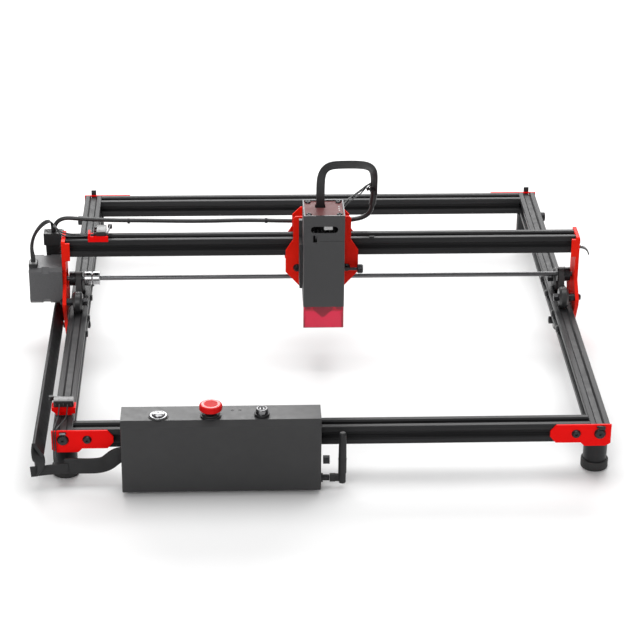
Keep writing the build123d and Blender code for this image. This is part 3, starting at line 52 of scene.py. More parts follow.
# ---------------------------------------------------------------- places, in mm
RAIL_X = 267.5
RAIL_TOP = 57.0
BACK = 295.0
BELT_W = 6.0
BELT_DEPTH = 2.7
WHEEL_UP = 10.3
WHEEL_Y = 25.5
SHAFT_Z = 84.0
PLATE_OUT = 284.0
BEAM_BOTTOM = 114.0
BEAM_TOP = 134.0
CAR_WHEEL_X = 27.0
CAR_MOTOR_Z = 100.5
PULLEY_WRAP = 7.15
HEAD_Y = -50.35
HEAD_FRONT = -72.5
HEAD_TOP = 187.9
BOX_L = -208.7
BOX_R = -12.5
BOX_FRONT = -329.0
BOX_TOP = 82.5
CONTROL_Y = -314.5
BUTTON_X = -171.7
STOP_X = -120.5
KEY_X = -70.5
X_SWITCH_HOLES_X = -242.8
ANTENNA_Z = 31.5
CLAMP_X = -296.0
CABLE_Y = 27.5
X_AXIS, Y_AXIS, Z_AXIS = Vector((1, 0, 0)), Vector((0, 1, 0)), Vector((0, 0, 1))


# ---------------------------------------------------------------- camera, floor and light
def camera():
    """A long lens from in front and above, a little to the left."""
    yaw, pitch, roll = 0.045, 0.46, 0.01
    ahead = Vector((math.sin(yaw) * math.cos(pitch), math.cos(yaw) * math.cos(pitch), -math.sin(pitch)))
    right = Vector((math.cos(yaw), -math.sin(yaw), 0))
    up = right.cross(ahead)
    side = right * math.cos(roll) + up * math.sin(roll)
    top = up * math.cos(roll) - right * math.sin(roll)
    turn = Matrix((side, top, -ahead)).transposed().to_4x4()
    data = bpy.data.cameras.new("camera")
    data.lens = 122.42
    data.sensor_width = 36.0
    data.clip_end = 30.0
    obj = bpy.data.objects.new("camera", data)
    obj.matrix_world = Matrix.Translation(Vector((-98.75, -2182.5, 1111.9)) * MM) @ turn
    SCENE.collection.objects.link(obj)
    SCENE.camera = obj


def area_light(name, at, aim, size, watts, shade=(1, 1, 1)):
    data = bpy.data.lights.new(name, "AREA")
    data.shape = "RECTANGLE"
    data.size, data.size_y = size
    data.energy = watts
    data.color = shade
    obj = bpy.data.objects.new(name, data)
    obj.location = at
    obj.rotation_euler = (Vector(aim) - Vector(at)).to_track_quat("-Z", "Y").to_euler()
    SCENE.collection.objects.link(obj)


def studio():
    """A white floor, a white sky and a soft box overhead."""
    world = bpy.data.worlds.new("studio")
    SCENE.world = world
    world.use_nodes = True
    sky = world.node_tree.nodes["Background"]
    sky.inputs["Color"].default_value = (1, 1, 1, 1)
    sky.inputs["Strength"].default_value = 0.36
    SCENE.view_settings.view_transform = "Standard"
    area_light("overhead", (0.05, 0.25, 1.7), (0, 0, 0), (1.5, 1.3), 24)
    area_light("rear_panel", (0.1, 3.2, 1.75), (0, 0, 0), (4.0, 1.6), 120)
    area_light("front_fill", (-0.9, -2.2, 1.3), (0, 0, 0.1), (1.6, 1.0), 20)
    mesh = bpy.data.meshes.new("floor")
    half = 9.0
    mesh.from_pydata([(-half, -half, 0), (half, -half, 0), (half, half, 0), (-half, half, 0)], [],
                     [(0, 1, 2, 3)])
    floor = bpy.data.objects.new("floor", mesh)
    floor.location.z = -0.0004
    SCENE.collection.objects.link(floor)
    shade = Shader("floor_white")
    shade.colour((0.86, 0.86, 0.86), (0.89, 0.89, 0.89), 3.0)
    shade.set("Roughness", 0.6)
    shade.set("Specular IOR Level", 0.2)
    mesh.materials.append(shade.material)


# ---------------------------------------------------------------- materials
class Shader:
    """A Principled material whose colour, gloss and relief vary over the surface."""

    def __init__(self, name):
        self.material = bpy.data.materials.new(name)
        self.material.use_nodes = True
        self.tree = self.material.node_tree
        self.surface = self.tree.nodes["Principled BSDF"]
        self.place = self.tree.nodes.new("ShaderNodeTexCoord").outputs["Object"]
        self.relief = None

    def set(self, socket, value):
        self.surface.inputs[socket].default_value = value

    def noise(self, scale, detail=3.0, stretch=(1, 1, 1)):
        """Noise over the object's own coordinates, drawn out along an axis by a small stretch."""
        mapping = self.tree.nodes.new("ShaderNodeMapping")
        mapping.inputs["Scale"].default_value = stretch
        self.tree.links.new(self.place, mapping.inputs["Vector"])
        noise = self.tree.nodes.new("ShaderNodeTexNoise")
        noise.inputs["Scale"].default_value = scale
        noise.inputs["Detail"].default_value = detail
        self.tree.links.new(mapping.outputs["Vector"], noise.inputs["Vector"])
        return noise.outputs["Fac"]

    def bands(self, axis, scale, profile="SIN"):
        wave = self.tree.nodes.new("ShaderNodeTexWave")
        wave.wave_type = "BANDS"
        wave.bands_direction = axis
        wave.wave_profile = profile
        wave.inputs["Scale"].default_value = scale
        self.tree.links.new(self.place, wave.inputs["Vector"])
        return wave.outputs["Fac"]

    def spread(self, fac, low, high, to_low, to_high):
        node = self.tree.nodes.new("ShaderNodeMapRange")
        for socket, value in (("From Min", low), ("From Max", high), ("To Min", to_low),
                              ("To Max", to_high)):
            node.inputs[socket].default_value = value
        self.tree.links.new(fac, node.inputs["Value"])
        return node.outputs["Result"]

    def colour(self, dark, light, scale=60.0, stretch=(1, 1, 1), fac=None):
        ramp = self.tree.nodes.new("ShaderNodeValToRGB")
        ramp.color_ramp.elements[0].position = 0.3
        ramp.color_ramp.elements[1].position = 0.7
        ramp.color_ramp.elements[0].color = (*dark, 1)
        ramp.color_ramp.elements[1].color = (*light, 1)
        self.tree.links.new(fac or self.noise(scale, stretch=stretch), ramp.inputs["Fac"])
        self.tree.links.new(ramp.outputs["Color"], self.surface.inputs["Base Color"])
        return self

    def gloss(self, low, high, scale=90.0, stretch=(1, 1, 1)):
        result = self.spread(self.noise(scale, stretch=stretch), 0.3, 0.7, low, high)
        self.tree.links.new(result, self.surface.inputs["Roughness"])
        return self

    def bump(self, fac, depth_mm, strength=1.0):
        """Adds a height, stacked on any height before it."""
        node = self.tree.nodes.new("ShaderNodeBump")
        node.inputs["Strength"].default_value = strength
        node.inputs["Distance"].default_value = depth_mm * MM
        self.tree.links.new(fac, node.inputs["Height"])
        if self.relief is not None:
            self.tree.links.new(self.relief, node.inputs["Normal"])
        self.relief = node.outputs["Normal"]
        self.tree.links.new(self.relief, self.surface.inputs["Normal"])
        return self


def metal(name, dark, light, rough, scale=300.0, stretch=(1, 1, 1), relief=0.01, metallic=1.0):
    shade = Shader(name)
    shade.colour(dark, light, scale, stretch)
    shade.set("Metallic", metallic)
    shade.gloss(*rough, scale=scale * 1.7, stretch=stretch)
    shade.bump(shade.noise(scale * 2.3, stretch=stretch), relief)
    return shade


def coated(name, dark, light, rough, grain, relief, level=0.5):
    """Powder coat or moulded plastic: an even colour over a fine pebbled skin."""
    shade = Shader(name)
    shade.colour(dark, light, 35.0)
    shade.gloss(*rough, scale=120.0)
    shade.set("Specular IOR Level", level)
    shade.bump(shade.noise(grain, 2.0), relief)
    return shade


def make_materials():
    made = {}
    for key, stretch in (("x", (0.012, 1, 1)), ("y", (1, 0.012, 1))):
        made["rail_" + key] = metal("rail_" + key, (0.021, 0.021, 0.022), (0.034, 0.034, 0.035),
                                    (0.30, 0.40), 900.0, stretch, 0.008, 0.05)
        made["rail_" + key].set("Specular IOR Level", 0.09)
    made["red"] = coated("red_powder_coat", (0.80, 0.0012, 0.0010), (0.88, 0.0022, 0.0014), (0.38, 0.48),
                         1500.0, 0.02, 0.09)
    made["red_orange"] = coated("red_anodised", (0.76, 0.010, 0.0025), (0.84, 0.014, 0.004), (0.38, 0.48),
                                1500.0, 0.02, 0.09)
    made["charcoal"] = coated("charcoal_powder_coat", (0.010, 0.010, 0.011), (0.013, 0.013, 0.014),
                              (0.42, 0.5), 2400.0, 0.02, 0.58)
    made["black_tube"] = coated("black_tube", (0.010, 0.010, 0.011), (0.016, 0.016, 0.017), (0.3, 0.42),
                                700.0, 0.02, 0.25)
    made["rubber"] = coated("rubber", (0.012, 0.012, 0.012), (0.022, 0.022, 0.022), (0.6, 0.75), 900.0,
                            0.05)
    made["belt"] = coated("belt_rubber", (0.02, 0.02, 0.021), (0.034, 0.034, 0.035), (0.5, 0.65), 1800.0,
                          0.03)
    made["plastic"] = coated("black_plastic", (0.014, 0.014, 0.015), (0.022, 0.022, 0.023), (0.38, 0.5),
                             2600.0, 0.015, 0.3)
    made["wheel"] = coated("wheel_plastic", (0.02, 0.02, 0.021), (0.034, 0.034, 0.035), (0.3, 0.42), 1200.0,
                           0.01)
    made["switch"] = coated("switch_plastic", (0.012, 0.012, 0.013), (0.02, 0.02, 0.02), (0.3, 0.4), 2200.0,
                            0.012)
    # Painted highlight: a light grey copy of the black switch plastic, laid as a thin sheet on lit top faces.
    made["painted_highlight_grey"] = coated("switch_painted_highlight", (0.10, 0.10, 0.10), (0.13, 0.13, 0.13), (0.3, 0.4), 2200.0,
                                0.012)
    made["steel"] = metal("ground_steel", (0.13, 0.13, 0.135), (0.18, 0.18, 0.185), (0.24, 0.32), 700.0,
                          (0.02, 1, 1), 0.004)
    made["bolt"] = metal("black_oxide", (0.016, 0.016, 0.018), (0.034, 0.034, 0.036), (0.28, 0.38), 500.0,
                         (1, 1, 1), 0.008, 0.6)
    made["chrome"] = metal("chrome", (0.17, 0.17, 0.175), (0.24, 0.24, 0.245), (0.16, 0.24), 250.0,
                           (1, 1, 1), 0.003)
    made["silver"] = metal("turned_aluminium", (0.46, 0.46, 0.47), (0.56, 0.56, 0.57), (0.22, 0.32), 700.0,
                           (1, 0.05, 0.05), 0.006)
    made["head"] = metal("head_anodised", (0.044, 0.044, 0.046), (0.056, 0.056, 0.058), (0.46, 0.56),
                         1600.0, (1, 1, 1), 0.012, 0.1)
    made["mount"] = metal("mount_anodised", (0.026, 0.026, 0.028), (0.036, 0.036, 0.038), (0.42, 0.52),
                          1400.0, (1, 1, 1), 0.012, 0.1)
    made["sink"] = metal("sink_aluminium", (0.20, 0.20, 0.21), (0.28, 0.28, 0.29), (0.35, 0.45), 600.0,
                         (1, 1, 0.03), 0.02)
    made["cap"] = coated("head_cap", (0.11, 0.040, 0.040), (0.15, 0.050, 0.050), (0.4, 0.5), 1400.0, 0.012,
                         0.1)
    made["stop"] = coated("stop_red", (0.50, 0.004, 0.005), (0.58, 0.008, 0.008), (0.3, 0.4), 900.0, 0.006,
                          0.06)
    made["board"] = coated("solder_mask", (0.01, 0.09, 0.035), (0.015, 0.13, 0.05), (0.3, 0.4), 1500.0,
                           0.02)
    made["sleeve"] = coated("cable_sleeve", (0.010, 0.010, 0.011), (0.02, 0.02, 0.021), (0.28, 0.4), 1600.0,
                            0.03)
    made["jacket"] = coated("cable_jacket", (0.016, 0.016, 0.017), (0.026, 0.026, 0.027), (0.3, 0.42),
                            1300.0, 0.03)
    made["wrap"] = coated("ribbon_wrap", (0.010, 0.010, 0.011), (0.014, 0.014, 0.015), (0.42, 0.55), 1800.0,
                          0.02, 0.35)
    made["motor_end"] = metal("motor_end", (0.075, 0.075, 0.078), (0.10, 0.10, 0.104), (0.4, 0.5), 1100.0,
                              (1, 1, 1), 0.02, 0.15)
    shield = Shader("tinted_acrylic")
    shield.colour((0.62, 0.008, 0.05), (0.68, 0.012, 0.06), 25.0)
    shield.gloss(0.05, 0.12)
    shield.set("Transmission Weight", 0.72)
    shield.set("IOR", 1.49)
    shield.bump(shield.noise(60.0), 0.02)
    made["shield"] = shield
    made["rim"] = metal("polished_rim", (0.055, 0.055, 0.057), (0.08, 0.08, 0.083), (0.3, 0.4), 500.0,
                        (1, 1, 1), 0.004)
    made["pale"] = coated("pale_plastic", (0.45, 0.45, 0.45), (0.52, 0.52, 0.52), (0.35, 0.45), 900.0, 0.01)
    # Painted highlight: a paler, pinker copy of the stop cap's red, for the light on its raised rim.
    made["stop_painted_highlight"] = coated("stop_light_red", (0.78, 0.10, 0.10), (0.84, 0.14, 0.14), (0.2, 0.3), 900.0,
                                0.006)
    lens = coated("lamp_lens", (0.004, 0.004, 0.005), (0.008, 0.008, 0.009), (0.2, 0.3), 500.0, 0.004, 0.1)
    made["lens"] = lens
    return made


MATERIALS = make_materials()


def soften(obj, width_mm, angle=30.0, segments=2):
    """Breaks the sharp edges of a piece, as a tumbled or coated edge is."""
    weld = obj.modifiers.new("weld", "WELD")
    weld.merge_threshold = 0.00001
    flats = obj.modifiers.new("flats", "DECIMATE")
    flats.decimate_type = "DISSOLVE"
    flats.angle_limit = math.radians(0.5)
    bevel = obj.modifiers.new("edges", "BEVEL")
    bevel.width = width_mm * MM
    bevel.segments = segments
    bevel.limit_method = "ANGLE"
    bevel.angle_limit = math.radians(angle)
    bevel.harden_normals = False
    bevel.use_clamp_overlap = True


def dress(node, finish, width_mm=0.0, angle=30.0, segments=2):
    """Gives a carried-over node its finish, and soft edges."""
    obj = NODES[node]
    obj.data.materials.clear()
    obj.data.materials.append(MATERIALS[finish].material)
    if width_mm:
        soften(obj, width_mm, angle, segments)
        for polygon in obj.data.polygons:
            polygon.use_smooth = True
        smooth_by_angle(obj, 35.0)


def smooth_by_angle(obj, degrees):
    """Shades faces smooth except across sharp edges."""
    bpy.context.view_layer.objects.active = obj
    for other in bpy.context.selected_objects:
        other.select_set(False)
    obj.select_set(True)
    bpy.ops.object.shade_auto_smooth(angle=math.radians(degrees))
    obj.select_set(False)
    if "edges" in obj.modifiers:
        even = obj.modifiers.new("flat faces", "WEIGHTED_NORMAL")
        even.keep_sharp = True
        even.weight = 50


# ---------------------------------------------------------------- mesh helpers
def piece(name, verts, faces, finish, smooth=None):
    """A mesh piece from points in mm."""
    mesh = bpy.data.meshes.new(name)
    mesh.from_pydata([Vector(v) * MM for v in verts], [], faces)
    mesh.materials.append(MATERIALS[finish].material)
    bm = bmesh.new()
    bm.from_mesh(mesh)
    bmesh.ops.remove_doubles(bm, verts=bm.verts, dist=1e-7)
    bmesh.ops.recalc_face_normals(bm, faces=bm.faces)
    bm.to_mesh(mesh)
    bm.free()
    obj = bpy.data.objects.new(name, mesh)
    SCENE.collection.objects.link(obj)
    if smooth is not None:
        for polygon in mesh.polygons:
            polygon.use_smooth = True
        smooth_by_angle(obj, smooth)
    return obj


def tube_faces(rings, count, closed_ends=True, loop=False):
    """Faces that join rings of the same number of points."""
    faces = []
    last = rings if loop else rings - 1
    for i in range(last):
        a, b = i * count, ((i + 1) % rings) * count
        for k in range(count):
            n = (k + 1) % count
            faces.append((a + k, a + n, b + n, b + k))
    if closed_ends and not loop:
        faces.append(tuple(reversed(range(count))))
        faces.append(tuple(range((rings - 1) * count, rings * count)))
    return faces


def spline(points, per=8):
    """A smooth line along control points, each a tuple of any length: a clamped cubic B-spline."""
    controls = [points[0]] * 2 + list(points) + [points[-1]] * 2
    line = []
    for i in range(len(controls) - 3):
        for k in range(per):
            t = k / per
            w = ((1 - t) ** 3, 3 * t ** 3 - 6 * t * t + 4, -3 * t ** 3 + 3 * t * t + 3 * t + 1, t ** 3)
            line.append(tuple(sum(w[j] * controls[i + j][c] for j in range(4)) / 6 for c in range(len(points[0]))))
    line.append(tuple(points[-1]))
    return line


def band(name, controls, section, finish, per=8, smooth=40.0):
    """A flat cable: controls are (x, y, z, wx, wy, wz), the centre and the way its width points.

    section is a list of (across, out) points of its outline, in mm."""
    line = spline(controls, per)
    verts = []
    for i, row in enumerate(line):
        here = Vector(row[:3])
        along = Vector(line[min(i + 1, len(line) - 1)][:3]) - Vector(line[max(i - 1, 0)][:3])
        along.normalize()
        wide = Vector(row[3:6])
        wide = (wide - along * wide.dot(along)).normalized()
        out = along.cross(wide)
        verts += [here + wide * a + out * b for a, b in section]
    return piece(name, verts, tube_faces(len(line), len(section)), finish, smooth)


def flat_section(width, thick, ribs=0, rib_h=0.25):
    """Outline of a flat cable, with shallow lengthwise ribs on both faces."""
    half, t = width / 2, thick / 2
    corner = t * 0.8
    edge = []
    for k in range(5):
        a = math.pi / 2 * k / 4
        edge.append((half - corner + corner * math.sin(a), t - corner + corner * math.cos(a)))
    top = []
    steps = max(2, ribs * 4)
    for k in range(steps + 1):
        u = -1 + 2 * k / steps
        lift = rib_h * (0.5 - 0.5 * math.cos(2 * math.pi * ribs * k / steps)) if ribs else 0.0
        top.append(((half - corner) * u, t + lift))
    right = edge[1:]
    lower = [(x, -y) for x, y in reversed(edge)][:-1]
    bottom = [(x, -y) for x, y in reversed(top)]
    left = [(-x, -y) for x, y in edge[1:]] + [(-x, y) for x, y in list(reversed(edge))[1:-1]]
    return top + right + lower + bottom + left


def wire(name, points, radius, finish, body=None, resolution=4, order=3):
    """A round cable or wire along a smooth line through mm control points, as a mesh."""
    data = bpy.data.curves.new(name, "CURVE")
    data.dimensions = "3D"
    line = data.splines.new("NURBS")
    line.points.add(len(points) - 1)
    for point, at in zip(line.points, points):
        point.co = (*(Vector(at) * MM), 1)
    line.order_u = order
    line.use_endpoint_u = True
    line.resolution_u = 8
    data.bevel_depth = radius * MM
    data.bevel_resolution = resolution
    data.use_fill_caps = True
    temp = bpy.data.objects.new(name + "_line", data)
    SCENE.collection.objects.link(temp)
    bpy.context.view_layer.update()
    mesh = bpy.data.meshes.new_from_object(temp.evaluated_get(bpy.context.evaluated_depsgraph_get()))
    bpy.data.objects.remove(temp)
    mesh.name = name
    mesh.materials.clear()
    mesh.materials.append(MATERIALS[finish].material)
    for polygon in mesh.polygons:
        polygon.use_smooth = True
    obj = bpy.data.objects.new(name, mesh)
    SCENE.collection.objects.link(obj)
    if body:
        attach(obj, body)
    return obj


def join(name, parts):
    """Several mesh pieces as one."""
    for other in bpy.context.selected_objects:
        other.select_set(False)
    for part in parts:
        part.select_set(True)
    bpy.context.view_layer.objects.active = parts[0]
    bpy.ops.object.join()
    parts[0].name = name
    parts[0].data.name = name
    parts[0].select_set(False)
    return parts[0]


def turned(name, centre, along, profile, finish, sides=40, smooth=35.0):
    """A turned piece: profile is a closed list of (distance along, radius) points."""
    axis = Vector(along).normalized()
    side = axis.orthogonal().normalized()
    other = axis.cross(side)
    rings = []
    for i in range(sides):
        a = 2 * math.pi * i / sides
        way = side * math.cos(a) + other * math.sin(a)
        rings += [Vector(centre) + axis * d + way * r for d, r in profile]
    return piece(name, rings, tube_faces(sides, len(profile), loop=True), finish, smooth)


def plate(name, outline, low, high, axis, finish, width_mm=0.3):
    """A flat piece: outline in the two axes across axis, between two heights along it."""
    order = {"x": lambda u, v, h: (h, u, v), "y": lambda u, v, h: (u, h, v), "z": lambda u, v,
             h: (u, v, h)}[axis]
    n = len(outline)
    verts = [order(u, v, low) for u, v in outline] + [order(u, v, high) for u, v in outline]
    obj = piece(name, verts, tube_faces(2, n), finish, 35.0)
    if width_mm:
        soften(obj, width_mm)
    return obj


def box_outline(cx, cy, w, h, corner=0.0, steps=3):
    """Corners of a rectangle, rounded."""
    if not corner:
        return [(cx - w / 2, cy - h / 2), (cx + w / 2, cy - h / 2), (cx + w / 2, cy + h / 2),
                (cx - w / 2, cy + h / 2)]
    points = []
    for sx, sy, start in ((1, -1, -90), (1, 1, 0), (-1, 1, 90), (-1, -1, 180)):
        for k in range(steps + 1):
            a = math.radians(start + 90 * k / steps)
            points.append((cx + sx * (w / 2 - corner) + corner * math.cos(a),
                           cy + sy * (h / 2 - corner) + corner * math.sin(a)))
    return points


# ---------------------------------------------------------------- cables
def head_cable():
    """The flat cable that stands in a loop over the head, its sleeve, and the round lead down to the beam."""
    route = [
        (-3.3, -44, 176), (-3.3, -44, 187), (-3.3, -44, 203), (-3.2, -43, 219), (-0.5, -42, 227),
        (4.5, -38, 230.5), (12, -33, 230.2), (24, -24, 226.8), (37, -12, 221.8), (48.5, 0, 216),
        (56.2, 10, 207.5), (58.4, 18, 194), (58.6, 24, 180), (58.6, 26, 172),
    ]
    wide = [
        (1, 0, 0), (1, 0, 0), (1, 0, 0), (1, 0.1, 0), (0.9, 0.4, -0.3),
        (0.4, 0.1, -0.9), (0, 0, -1), (0, 0.05, -1), (-0.05, 0.05, -1), (-0.2, 0.1, -0.95),
        (-0.75, 0.35, -0.5), (-0.7, 0.7, 0), (-0.7, 0.7, 0), (-0.8, 0.6, 0),
    ]
    ribbon = band("head_ribbon_loop", [a + b for a, b in zip(route, wide)], flat_section(9.2, 1.7, 4, 0.35),
                  "sleeve", 9)
    sleeve = wire("head_ribbon_sleeve", [(58.8, 25, 178), (58.8, 27, 172), (58.4, 27.5, 165),
                                         (57.2, 27.5, 158)], 3.8, "jacket")
    lead = wire("head_lead", [(58.6, 27.5, 168), (58, 27.5, 156), (53, 27.5, 145), (39, 27.5, 139.8),
                              (22, 27.5, 139)],
                2.6, "jacket")
    wires = []
    for k, (dx, dz, out) in enumerate(((0, 0, 0), (1.6, 1.2, 2), (3.0, -1.2, 4))):
        points = [(19 + dx, -30, 178), (23 + dx, -21, 181 + dz), (32 + out, -8, 183 + dz),
                  (44, 6, 183 + dz * 2),
                  (51.5 + dx * 0.5, 16, 187 + out * 0.5), (56, 20, 184 - dz), (52.5 - dx, 20, 178 - dz),
                  (50 + dx * 0.5, 21, 181),
                  (54, 23, 178 + dz), (57.5, 25, 172)]
        wires.append(wire("head_sense_wire_%d" % (k + 1), points, 0.65, "jacket", resolution=2))
    for obj in [ribbon, sleeve, lead] + wires:
        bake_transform(obj)
    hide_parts("head_ribbon")


def beam_cable():
    """The cable along the top of the beam, from the clamp to the carriage."""
    route = [
        (CLAMP_X, 30, 114), (CLAMP_X, 30, 133), (-286, 29, 144.5), (-266, CABLE_Y, 143.5),
        (-236, CABLE_Y, 141.4),
        (-190, 28, 140.4), (-135, 27.2, 139.4), (-80, 28, 140.2), (-28, 27.3, 138.6), (21, CABLE_Y, 139),
    ]
    main = wire("beam_lead", route, 2.3, "jacket")
    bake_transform(main)
    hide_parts("beam_cable")
    ties = []
    for i, x in enumerate((-212, -60)):
        ties.append(turned("cable_tie_%d" % (i + 1), (x, 27.7, 140.3 if i == 0 else 139.5), (1, 0, 0),
                           [(-1.3, 2.3), (-1.3, 3.0), (1.3, 3.0), (1.3, 2.3)], "plastic", 20))
        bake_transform(ties[-1])


def side_ribbon():
    """The flat cable from the gantry's clamp down the left side, folded at the front and led into the box."""
    section = flat_section(17.5, 3.4, 0)
    drop = [
        (-296, 30, 128, 1, 0, 0), (-296, 30, 112, 1, 0, 0), (-295.5, 30, 92, 1, 0.3, 0),
        (-292.5, 29, 72, 0.5, 1, 0.1),
        (-290.6, 26, 56, 0.2, 0.9, 0.6), (-290, 16, 48.5, -0.2, 0.4, 0.9), (-290, 0, 47.2, -0.5, 0.1, 0.86),
        (-290, -24, 47, -0.52, 0, 0.86), (-290, -70, 47, -0.52, 0, 0.86),
        (-290, -120, 46.6, -0.52, 0, 0.86),
        (-290.2, -170, 46.8, -0.52, 0, 0.86), (-290, -220, 46.8, -0.52, 0, 0.86),
        (-290.3, -265, 46.6, -0.52, 0, 0.86),
        (-290.5, -300, 46.2, -0.52, 0, 0.86), (-290.6, -315, 46, -0.52, 0, 0.86),
    ]
    run = band("side_ribbon_run", drop, section, "wrap", 10)
    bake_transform(run)
    fold = [
        (-294.5, -309, 52, 0.1, 1, 0.1), (-293.5, -311, 44, 0.5, 0.8, 0.2),
        (-290.5, -312.5, 35, 0.9, 0.2, 0.1),
        (-290.5, -310, 28, 0.9, -0.5, -0.1), (-293, -306.5, 21, 0.4, -0.9, -0.2),
        (-294, -305.5, 16, 0.2, -1, 0),
    ]
    turn = band("side_ribbon_fold", fold, flat_section(12.5, 2.4), "wrap", 8)
    front = [
        (-266, -303.2, 21.2, 0, 0, 1), (-255, -303.8, 21.4, 0, 0, 1), (-244, -304.3, 21.2, 0, 0, 1),
        (-233, -304.3, 21.4, 0, 0, 1),
        (-225, -303.4, 23, 0, 0, 1), (-219.5, -303.8, 28, -0.15, 0, 1), (-215, -304.2, 32.5, -0.1, 0, 1),
        (-209, -304, 34, 0, 0, 1), (-204, -304, 34, 0, 0, 1),
    ]
    lead = band("side_ribbon_front", front, flat_section(17.0, 3.0), "wrap", 8)
    tape = band("side_ribbon_tape", [(-262, -303.7, 21.3, 0, 0, 1), (-258.5, -303.6, 21.4, 0, 0, 1),
                                     (-255, -303.7, 21.3, 0, 0, 1)],
                flat_section(17.5, 3.5), "wrap", 4)
    low = band("side_ribbon_corner", [(-300, -306.5, 16.6, -0.4, 0.1, 1), (-290, -305.6, 17.4, -0.1, 0, 1),
                                      (-276, -305.2, 18.6, 0, 0, 1), (-262.5, -304.6, 19.6, 0.1, 0, 1)],
               flat_section(11.0, 2.6), "wrap", 8)
    for obj in (turn, lead, tape, low):
        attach(obj, "frame")
    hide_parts("side_ribbon")


def thin_wires():
    """Leads of the motors and of the two limit switches."""
    for k in range(4):
        s = k * 1.3
        points = [
            (-317 + s, -12, 106), (-317.5 + s, -11, 116), (-318 + s * 0.5, -8, 130 - s), (-313, 2, 141 - s),
            (-305 + s * 0.4, 16, 146 - s * 0.8), (-298.5 + s * 0.5, 27, 143 - s * 0.6),
            (-297 + s * 0.5, 30, 134),
            (-297 + s * 0.5, 30, 120),
        ]
        wire("gantry_motor_wire_%d" % (k + 1), points, 0.75, "jacket", "gantry", 2)
    for k, lift in enumerate((0, 3.0)):
        points = [
            (-243 - k * 4, -1 + lift * 0.5, 137.8), (-250, -2 + lift, 136), (-262, -2 + lift, 135.4),
            (-277, -4 + lift * 2, 135.9 + lift * 0.3), (-286, 0 + lift, 137.2 + lift * 0.5),
            (-291.5, 12, 140 + lift * 0.4),
            (-294.5, 25, 138.5), (-296, 30, 124),
        ]
        wire("x_switch_wire_%d" % (k + 1), points, 0.85, "jacket", "gantry", 2)
    for k, dx in enumerate((0.0, 3.4)):
        points = [
            (-272 + dx * 2.4, -265, 69.6), (-272 + dx * 2.4, -269.5, 68.5), (-273 + dx * 2.4, -275, 60.5),
            (-275 + dx * 1.6, -285, 58.5), (-276.4 + dx * 0.7, -295.5, 58.2),
            (-276.6 + dx * 0.6, -299.4, 53),
            (-276.6 + dx * 0.6, -299.6, 40), (-277 + dx * 0.8, -300.6, 30), (-276.5 + dx, -302.2, 25),
        ]
        wire("y_switch_wire_%d" % (k + 1), points, 0.65, "jacket", "frame", 2)
    for k in range(4):
        s = k * 1.3
        points = [
            (-2 + s, 51.4, 124), (-2 + s, 51.6, 132), (3 + s, 47, 140 + s * 0.5), (14, 38, 142 + s * 0.5),
            (22, 30, 140.5), (30, 27.6, 140.5),
        ]
        wire("carriage_motor_wire_%d" % (k + 1), points, 0.75, "jacket", "carriage", 2)


# ---------------------------------------------------------------- belts
def belt_route(rest, idler_x, idler_up, pulley_up, part):
    """Points of one part of a belt, in (along the rail, away from its face)."""
    idler_r = idler_up + BELT_DEPTH
    rise = pulley_up - idler_up
    lean = math.atan2(rise, idler_x) - math.acos((idler_r + PULLEY_WRAP) / math.hypot(idler_x, rise))
    if part == "span":
        steps = int((rest - idler_x) / 2)
        return [(idler_x + (rest - idler_x) * k / steps, -BELT_DEPTH) for k in range(steps + 1)]
    half = []
    for k in range(17):
        a = -math.pi / 2 - (math.pi / 2 + lean) * k / 16
        half.append((idler_x + idler_r * math.cos(a), idler_up + idler_r * math.sin(a)))
    wrap = []
    for k in range(25):
        a = -lean + (math.pi + 2 * lean) * k / 24
        wrap.append((PULLEY_WRAP * math.cos(a), pulley_up + PULLEY_WRAP * math.sin(a)))
    return half + wrap + [(-x, y) for x, y in reversed(half)]


def even_points(points, step):
    """The same line, as points a fixed step apart."""
    line = [Vector(p) for p in points]
    out, left = [line[0]], step
    for a, b in zip(line, line[1:]):
        span = (b - a).length
        while left <= span:
            out.append(a.lerp(b, left / span))
            left += step
        left -= span
    if (out[-1] - line[-1]).length > step * 0.3:
        out.append(line[-1])
    return out


def belt(name, route, to_world, flip=1):
    """A toothed belt: a flat back, and a tooth every 2 mm on its other face."""
    line = even_points(route, 0.5)
    across = BELT_W / 2
    verts = []
    for i, at in enumerate(line):
        along = (line[min(i + 1, len(line) - 1)] - line[max(i - 1, 0)]).normalized()
        out = Vector((-along.y, along.x)) * flip
        tooth = 0.6 if i % 4 in (0, 1) else 0.0
        back, face = at + out * 0.55, at - out * (0.15 + tooth)
        for p, w in ((back, -across), (back, across), (face, across), (face, -across)):
            verts.append(to_world(p.x, p.y, w))
    return piece(name, verts, tube_faces(len(line), 4), "belt")


